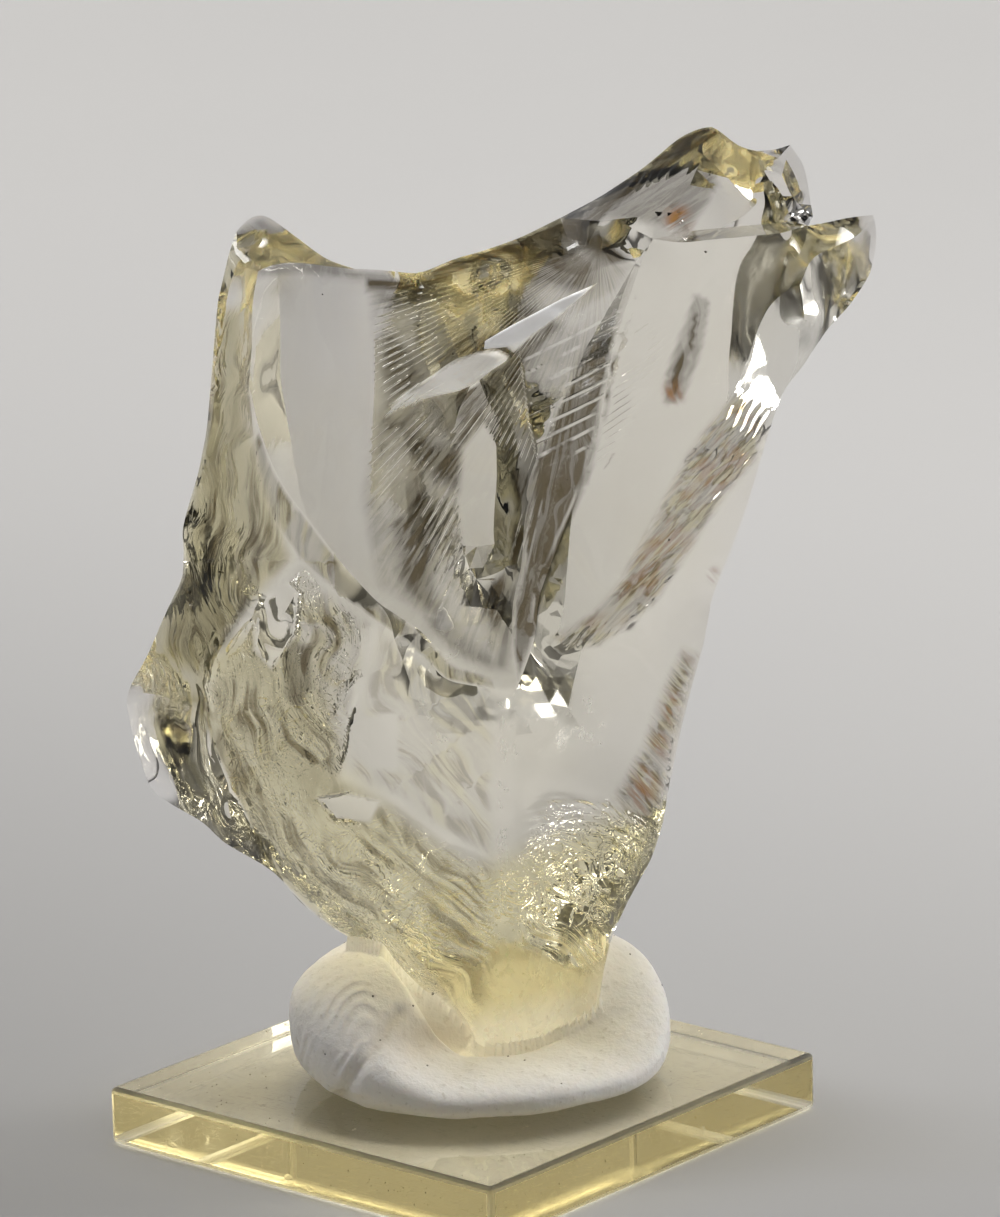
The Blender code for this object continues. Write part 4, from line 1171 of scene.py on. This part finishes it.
def putty_grid(spoke_turns):
    """Points of the lump's skin in the model's frame, ring by ring from the foot to the crown."""
    lowest = -math.asin(PUTTY_FOOT_DROP ** (-PUTTY_SQUARENESS / 2.0))
    power = 2.0 / PUTTY_SQUARENESS
    tilt = lowest + (math.pi / 2 - lowest) * np.arange(PUTTY_RINGS)[:, None] / PUTTY_RINGS
    turn = spoke_turns[None, :]
    off = turn_between(turn, PUTTY_LIP_TURN)
    height = PUTTY_LIP_HEIGHT + (PUTTY_HEIGHT - PUTTY_LIP_HEIGHT) * smooth_ramp(off, *PUTTY_LIP_SPREAD)
    backing = smooth_ramp(off, *PUTTY_BACKING_SPREAD)
    centre = PUTTY_CENTRE_HEIGHT + (PUTTY_BACKING_HEIGHT - PUTTY_CENTRE_HEIGHT) * backing
    height = height + (centre - height) * smooth_ramp(np.sin(tilt), *PUTTY_CROWN)
    level = np.abs(np.sin(tilt)) ** power
    waist = height * PUTTY_WAIST
    rise = np.where(tilt > 0, waist + level * (height - waist), waist - level * PUTTY_FOOT_DROP * waist)
    lobes = 1.0 + sum(share * np.cos(count * turn + start) for count, start, share in PUTTY_LOBES)
    reach = PUTTY_RADIUS * lobes * np.abs(np.cos(tilt)) ** power
    x = PUTTY_CENTRE[0] + reach * np.cos(turn)
    y = PUTTY_CENTRE[1] + reach * np.sin(turn)
    cos_turn, sin_turn = math.cos(FRONT_TURN), math.sin(FRONT_TURN)
    z = PUTTY_FOOT + np.maximum(rise, 0.0)
    return np.stack((cos_turn * x - sin_turn * y, sin_turn * x + cos_turn * y, z), axis=2)


def spoke_directions():
    """Directions of the spokes, closer together where the finger pressed."""
    even = np.linspace(0.0, 2 * math.pi, EVEN_SPOKES, endpoint=False)
    crowd = 1.0 + PRINT_CROWDING * smooth_ramp(turn_between(even, PRINT_TURN), *PRINT_SPREAD)
    total = np.cumsum(crowd)
    return np.interp(np.arange(PUTTY_SPOKES) / PUTTY_SPOKES * total[-1], total, even)


def wrapped_net(rings, spokes):
    """Triangles of a grid of rings closed round, with the foot and the crown each closed by one point."""
    index = np.arange(rings * spokes).reshape(rings, spokes)
    low, high = index[:-1], index[1:]
    low_next, high_next = np.roll(low, -1, axis=1), np.roll(high, -1, axis=1)
    flanks = [np.stack((low, low_next, high_next), 2), np.stack((low, high_next, high), 2)]
    crown, foot = rings * spokes, rings * spokes + 1
    top, bottom = index[-1], index[0]
    caps = [
        np.stack((top, np.roll(top, -1), np.full(spokes, crown)), 1),
        np.stack((np.roll(bottom, -1), bottom, np.full(spokes, foot)), 1),
    ]
    return np.concatenate([flank.reshape(-1, 3) for flank in flanks] + caps)


def soft_spot(places, centre, widths):
    """1 at a place of the sheet, and fading round it."""
    return np.exp(-(((places - centre) / widths) ** 2).sum(axis=1))


def putty_relief(points, normals, look):
    """How far in metres the putty stands out along its normal: dents, fold, pinches and fingerprint."""
    places = sheet_places(points)
    front = smooth_ramp(reach_to_eye(points, normals) / EYE_DISTANCE, *SKIN_FACING)
    relief = np.zeros(len(points))
    for height, scale in (LUMPS, GRAINS):
        relief += height * np.array([noise.noise(Vector(point) * scale) for point in points.tolist()])
    relief -= FOLD_DEPTH * np.exp(-((line_distance(places, FOLD) / FOLD_WIDTH) ** 2)) * front
    relief -= HOLLOW_DEPTH * soft_spot(places, HOLLOW_PLACE, HOLLOW_WIDTH) * front
    pinch = zone_share(places, PINCH_RING, PINCH_EDGE) * front
    relief += PINCH_HEIGHT * pinch * folded(noise_over(places, *PINCH_NOISE))
    ridges = look.ridge_height / MM * 0.5 * np.sin(print_phase(places, look))
    relief += print_share(places) * ridges * front
    foot = points[:, 2] < PUTTY_FOOT + PUTTY_FLAT_FOOT
    return np.where(foot, 0.0, relief) * MM


def print_share(places):
    """How clearly the finger's ridges show at each place."""
    fade = smooth_ramp(noise_over(places, *PRINT_FADE), *PRINT_FADE_ENDS)
    return zone_share(places, PRINT_RING, PRINT_EDGE) * fade


def print_phase(places, look):
    """Turns of the fingerprint's arcs, in radians."""
    reach = np.linalg.norm((places - PRINT_EYE) * PRINT_SQUASH, axis=1)
    steps = look.ridge_spacing / (EYE_DISTANCE / SHEET_STEPS_PER_UNIT_SLOPE)
    return 2 * np.pi * (reach / steps + sized_noise(places, *PRINT_WAVER))


def press_into(points, shard):
    """Lower the points that lie inside the glass to its underside, and heap the putty up round it."""
    tree = BVHTree.FromObject(shard, bpy.context.evaluated_depsgraph_get())
    up = Vector((0.0, 0.0, 1.0))
    pressed = points.copy()
    for i, point in enumerate(points.tolist()):
        place = Vector(point)
        hit = tree.ray_cast(Vector((place.x, place.y, 0.0)), up)[0]
        if hit is not None and hit.z < place.z + PRESS_REACH:
            pressed[i, 2] = min(place.z + PRESS_REACH, hit.z + PRESS_DEPTH)
        elif place.z > PLATE_THICKNESS + HEAP_FLOOR:
            distance = tree.find_nearest(place)[3]
            pressed[i, 2] += HEAP_HEIGHT * math.exp(-((distance / HEAP_WIDTH) ** 2))
    return pressed


def build_putty(look):
    """The lump of putty, pressed round the tip of the glass."""
    spokes = spoke_directions()
    grid = putty_grid(spokes).reshape(-1, 3)
    crown = grid[-len(spokes):].mean(axis=0)
    foot = grid[: len(spokes)].mean(axis=0)
    points = np.concatenate([grid, [crown, foot]])
    triangles = wrapped_net(PUTTY_RINGS, len(spokes))
    normals = net_normals(points, triangles)
    points = points + putty_relief(points, normals, look)[:, None] * normals
    points[:, 2] = np.maximum(points[:, 2], PUTTY_FOOT)
    points = press_into(points, bpy.data.objects["andara_glass"])
    piece = piece_from_net("putty_lump", points, triangles, white_putty(look))
    places = sheet_places(points)
    front = smooth_ramp(reach_to_eye(points, net_normals(points, triangles)), *PUTTY_FRONT)
    store_share(piece, "ridge_phase", print_phase(places, look))
    store_share(piece, "ridge_share", print_share(places) * front)
    # Darker colour in the hollow and along the fold.
    darkening = DARKENING_SHARE * soft_spot(places, DARKENING_PLACE, DARKENING_WIDTH)
    darkening += FOLD_DARKENING_SHARE * np.exp(-((line_distance(places, FOLD) / FOLD_WIDTH) ** 2))
    store_share(piece, "hollow", darkening * front)
    return piece


def build_flecks(look):
    """Grey grains stuck in the putty's skin."""
    putty = bpy.data.objects["putty_lump"].data
    points = np.array([vert.co for vert in putty.vertices])
    triangles = np.array([face.vertices for face in putty.polygons])
    heights = points[triangles][:, :, 2].min(axis=1)
    skin = triangles[heights > PLATE_THICKNESS + FLECK_FLOOR]
    tree = ScatterTree("strew_flecks", stone_grain("grey_fleck", (0.24, 0.22, 0.20), 0.8), lumpy_grain)
    return tree.strew("putty_flecks", points, skin, {
        "Per square metre": look.fleck_density, "Smallest": 0.06 * MM, "Largest": 0.15 * MM,
        "Least depth": 0.0, "Most depth": 0.03 * MM, "Seed": 5,
    })


# ---------------------------------------------------------------- plate

DUST_MARGIN = 0.6 * MM
DUST_LIFT = 0.004 * MM


def build_plate_dust(look):
    """Grains lying on the plate."""
    half = PLATE_SIDE / 2 - DUST_MARGIN
    z = PLATE_THICKNESS + DUST_LIFT
    corners = np.array([(-half, -half, z), (half, -half, z), (half, half, z), (-half, half, z)])
    square = np.array([(0, 1, 2), (0, 2, 3)])
    grains = ScatterTree("strew_dust", stone_grain("pale_dust", (0.55, 0.50, 0.42), 0.9), lumpy_grain)
    return grains.strew("plate_dust", corners, square, {
        "Per square metre": look.dust_density, "Smallest": 0.03 * MM, "Largest": 0.09 * MM,
        "Least depth": 0.0, "Most depth": 0.001 * MM, "Seed": 3,
    })


# ---------------------------------------------------------------- stage

WARM = (1.0, 0.99, 0.975)
COOL = (0.98, 0.99, 1.0)
# Lamps in the front frame: name, place, what it points at, width and depth, spread in degrees, colour.
LAMPS = (
    ("overhead", (0.0, 0.35, 0.5), (0.0, 0.35, 0.0), (1.0, 0.52), 36.0, WARM),
    ("front", (0.0, -0.52, 0.5), (0.0, -0.52, 0.0), (1.0, 0.56), 36.0, WARM),
    ("side", (0.66, 0.16, 0.18), (0.0, 0.0, 0.035), (0.20, 0.12), 40.0, COOL),
    ("glint", (-0.38, 0.64, 0.075), (0.0, 0.0, 0.045), (0.13, 0.09), 60.0, COOL),
    ("strip", (-0.55, 0.10, 0.32), (0.0, 0.0, 0.03), (0.07, 0.20), 60.0, COOL),
)
SKY_BEHIND = (-0.55, 0.35)  # cosines to straight behind, over which the sky grows pale
SKY_LOW = (0.62, 0.18)  # heights over which it does so downwards
SKY_COLOUR = (1.0, 0.985, 0.97, 1.0)
CLIP = (0.01, 20.0)
FLOOR_HALF = 1.0
FLOOR_DROP = 0.05 * MM


def aim(place, target):
    """Matrix of a light at one front-frame place, looking at another."""
    turn = Matrix.Rotation(FRONT_TURN, 3, "Z")
    start, end = turn @ Vector(place), turn @ Vector(target)
    return Matrix.Translation(start) @ (end - start).to_track_quat("-Z", "Y").to_matrix().to_4x4()


def add_lamp(name, place, target, size, spread, colour, watts):
    """A rectangular soft light."""
    lamp = bpy.data.lights.new(name, "AREA")
    lamp.shape = "RECTANGLE"
    lamp.size, lamp.size_y = size
    lamp.energy = watts
    lamp.spread = math.radians(spread)
    lamp.color = colour
    add_object(name, lamp).matrix_world = aim(place, target)


def add_sky(look):
    """Room light: pale low down behind the object, and dim elsewhere."""
    world = bpy.data.worlds.new("studio")
    world.use_nodes = True
    tree = world.node_tree
    direction = add_node(tree, "ShaderNodeTexCoord").outputs["Generated"]
    backward = Matrix.Rotation(FRONT_TURN, 3, "Z") @ Vector((0.0, 1.0, 0.0))
    along = add_node(tree, "ShaderNodeVectorMath", {0: direction, 1: backward}, operation="DOT_PRODUCT")
    height = add_node(tree, "ShaderNodeSeparateXYZ", {0: direction}).outputs["Z"]
    shares = {0: add_ramp(tree, along.outputs["Value"], *SKY_BEHIND), 1: add_ramp(tree, height, *SKY_LOW)}
    both = add_node(tree, "ShaderNodeMath", shares, operation="MULTIPLY").outputs[0]
    background = tree.nodes["Background"]
    background.inputs["Color"].default_value = SKY_COLOUR
    strength = add_ramp(tree, both, 0.0, 1.0, look.dim_light, look.back_light)
    tree.links.new(strength, background.inputs["Strength"])
    bpy.context.scene.world = world


def add_camera():
    """Camera at the eye point of the sighting sheet."""
    camera = bpy.data.cameras.new("camera")
    camera.sensor_width = SENSOR_WIDTH_MM
    camera.lens = SHEET_STEPS_PER_UNIT_SLOPE * SENSOR_WIDTH_MM / SHEET_HEIGHT
    camera.clip_start, camera.clip_end = CLIP
    holder = add_object("camera", camera)
    holder.matrix_world = eye_matrix()
    bpy.context.scene.camera = holder


def add_floor(look):
    """Plain floor under the plate."""
    mesh = bpy.data.meshes.new("floor")
    signs = ((-1, -1), (1, -1), (1, 1), (-1, 1))
    corners = [(x * FLOOR_HALF, y * FLOOR_HALF, -FLOOR_DROP) for x, y in signs]
    mesh.from_pydata(corners, [], [(0, 1, 2, 3)])
    mesh.materials.append(pale_floor(look))
    add_object("floor", mesh)


# ---------------------------------------------------------------- settings and operators


def colour_setting(name, description, default):
    """A colour for the panel."""
    return FloatVectorProperty(
        name=name, description=description, subtype="COLOR", size=3, default=default, min=0.0, max=1.0,
    )


def number_setting(name, description, default, unit="NONE"):
    """A number for the panel that isn't negative."""
    return FloatProperty(name=name, description=description, default=default, min=0.0, unit=unit)


class AndaraShardSettings(bpy.types.PropertyGroup):
    """Looks of the broken glass."""

    ior: number_setting("Index", "Refractive index of the glass", 1.51)
    tint: colour_setting("Tint", "Colour the glass takes on with depth", (0.952, 0.922, 0.75))
    tint_density: number_setting("Tint Density", "Absorption per metre", 45.0)
    veil: colour_setting("Veil", "Light that crossed the crumpled foot", (0.97, 0.88, 0.50))
    straw: colour_setting("Straw", "Light that crossed a deep break", (0.97, 0.90, 0.56))
    # Painted shade: the olive and brown colours stand for light trapped in the glass.
    olive: colour_setting("Olive", "Darker streaks in a deep break", (0.13, 0.095, 0.032))
    brown: colour_setting("Brown", "Darkest glass, where little light comes back", (0.036, 0.025, 0.011))
    rust: colour_setting("Rust", "Iron stain in the fractures", (0.24, 0.070, 0.008))
    crumple: number_setting("Crumple", "Strength of the crumpled breaks", 1.0)
    hackle: number_setting("Hackle Height", "Height in mm of the hackle steps", 0.035)
    crack_depth: number_setting("Crack Depth", "Where the white crack lies, in mm", CRACK_DEPTH)
    # Painted light: strength of the crack's glow by emission.
    crack_painted_glow: number_setting("Crack Glow", "Light that the white crack turns back", 0.35)
    speck_density: number_setting("Specks", "Specks to a square metre", 4500.0)


class AndaraPuttySettings(bpy.types.PropertyGroup):
    """Looks of the putty."""

    colour: colour_setting("Colour", "Clean putty", (0.90, 0.885, 0.87))
    greased: colour_setting("Greased", "Handled putty", (0.84, 0.82, 0.80))
    fleck: colour_setting("Fleck", "Mottling", (0.52, 0.49, 0.45))
    # Darker, browner colour in the hollow and along the fold.
    hollow: colour_setting("Hollow", "Grime in the hollow", (0.60, 0.53, 0.46))
    ridge_spacing: number_setting(
        "Ridge Spacing", "Between two ridges of the fingerprint", 0.48 * MM, "LENGTH",
    )
    ridge_height: number_setting("Ridge Height", "Height of the fingerprint's ridges", 0.07 * MM, "LENGTH")
    fleck_density: number_setting("Flecks", "Flecks to a square metre", 60000.0)


class AndaraPlateSettings(bpy.types.PropertyGroup):
    """Looks of the acrylic plate."""

    ior: number_setting("Index", "Refractive index of the acrylic", 1.49)
    tint: colour_setting("Tint", "Colour the acrylic takes on with depth", (0.95, 0.86, 0.45))
    tint_density: number_setting("Tint Density", "Absorption per metre", 60.0)
    dust_density: number_setting("Dust", "Grains to a square metre", 450000.0)


class AndaraStageSettings(bpy.types.PropertyGroup):
    """Floor and light round the specimen."""

    floor: colour_setting("Floor", "Colour of the floor", (0.42, 0.414, 0.408))
    overhead: number_setting("Overhead", "Soft light above and behind", 2.07, "POWER")
    front: number_setting("Front", "Soft light over the floor in front", 0.60, "POWER")
    side: number_setting("Side", "Soft light from the right", 0.095, "POWER")
    glint: number_setting("Glint", "Small light low on the far left", 0.018, "POWER")
    strip: number_setting("Strip", "Narrow light from the left", 0.045, "POWER")
    back_light: number_setting("Back Light", "Pale room light behind", 0.55)
    dim_light: number_setting("Dim Light", "Room light elsewhere", 0.14)


class ANDARA_OT_stage(bpy.types.Operator):
    """Camera, floor and soft light"""

    bl_idname = "andara.stage"
    bl_label = "Stage"

    def execute(self, context):
        look = context.scene.andara_stage
        add_camera()
        add_sky(look)
        add_floor(look)
        for name, *lamp in LAMPS:
            add_lamp(name, *lamp, getattr(look, name))
        context.scene.view_settings.view_transform = "Standard"
        return {"FINISHED"}


class ANDARA_OT_shard(bpy.types.Operator):
    """The broken glass"""

    bl_idname = "andara.shard"
    bl_label = "Glass Shard"

    def execute(self, context):
        shard = build_shard(context.scene.andara_shard)
        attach(shard, "root")
        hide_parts("andara_glass_shard")
        return {"FINISHED"}


class ANDARA_OT_inclusions(bpy.types.Operator):
    """Cracks and specks sealed in the glass"""

    bl_idname = "andara.inclusions"
    bl_label = "Cracks and Specks"

    def execute(self, context):
        look = context.scene.andara_shard
        for piece in (build_cracks(look), build_specks(look)):
            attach(piece, "root")
        return {"FINISHED"}


class ANDARA_OT_putty(bpy.types.Operator):
    """The putty and the flecks stuck in it"""

    bl_idname = "andara.putty"
    bl_label = "Mounting Putty"

    def execute(self, context):
        look = context.scene.andara_putty
        putty = build_putty(look)
        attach(putty, "root")
        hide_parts("mounting_putty")
        flecks = build_flecks(look)
        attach(flecks, "root")
        return {"FINISHED"}


class ANDARA_OT_plate(bpy.types.Operator):
    """Finish of the acrylic plate, and the dust on it"""

    bl_idname = "andara.plate"
    bl_label = "Acrylic Plate"

    def execute(self, context):
        look = context.scene.andara_plate
        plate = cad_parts["acrylic_plate"]
        acrylic = clear_acrylic(look)
        for slot in plate.material_slots:
            slot.material = acrylic
        dust = build_plate_dust(look)
        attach(dust, "root")
        return {"FINISHED"}


class ANDARA_PT_panel(bpy.types.Panel):
    """The steps and their settings"""

    bl_idname = "ANDARA_PT_panel"
    bl_label = "Andara Glass"
    bl_space_type = "VIEW_3D"
    bl_region_type = "UI"
    bl_category = "Andara Glass"

    def draw(self, context):
        for step, group in STEPS:
            box = self.layout.box()
            box.operator(step.bl_idname)
            settings = getattr(context.scene, group)
            for name in settings.bl_rna.properties.keys():
                if name not in ("rna_type", "name"):
                    box.prop(settings, name)


STEPS = (
    (ANDARA_OT_stage, "andara_stage"),
    (ANDARA_OT_shard, "andara_shard"),
    (ANDARA_OT_inclusions, "andara_shard"),
    (ANDARA_OT_putty, "andara_putty"),
    (ANDARA_OT_plate, "andara_plate"),
)
SETTINGS = {
    "andara_stage": AndaraStageSettings,
    "andara_shard": AndaraShardSettings,
    "andara_putty": AndaraPuttySettings,
    "andara_plate": AndaraPlateSettings,
}


def register():
    """Add the settings, the steps and the panel."""
    for name, group in SETTINGS.items():
        bpy.utils.register_class(group)
        setattr(bpy.types.Scene, name, PointerProperty(type=group))
    for step, _ in STEPS:
        bpy.utils.register_class(step)
    bpy.utils.register_class(ANDARA_PT_panel)


def unregister():
    """Take them all away again."""
    bpy.utils.unregister_class(ANDARA_PT_panel)
    for step, _ in reversed(STEPS):
        bpy.utils.unregister_class(step)
    for name, group in SETTINGS.items():
        delattr(bpy.types.Scene, name)
        bpy.utils.unregister_class(group)


def main():
    register()
    bpy.ops.andara.stage()
    bpy.ops.andara.shard()
    bpy.ops.andara.inclusions()
    bpy.ops.andara.putty()
    bpy.ops.andara.plate()


if __name__ == "__main__":
    main()
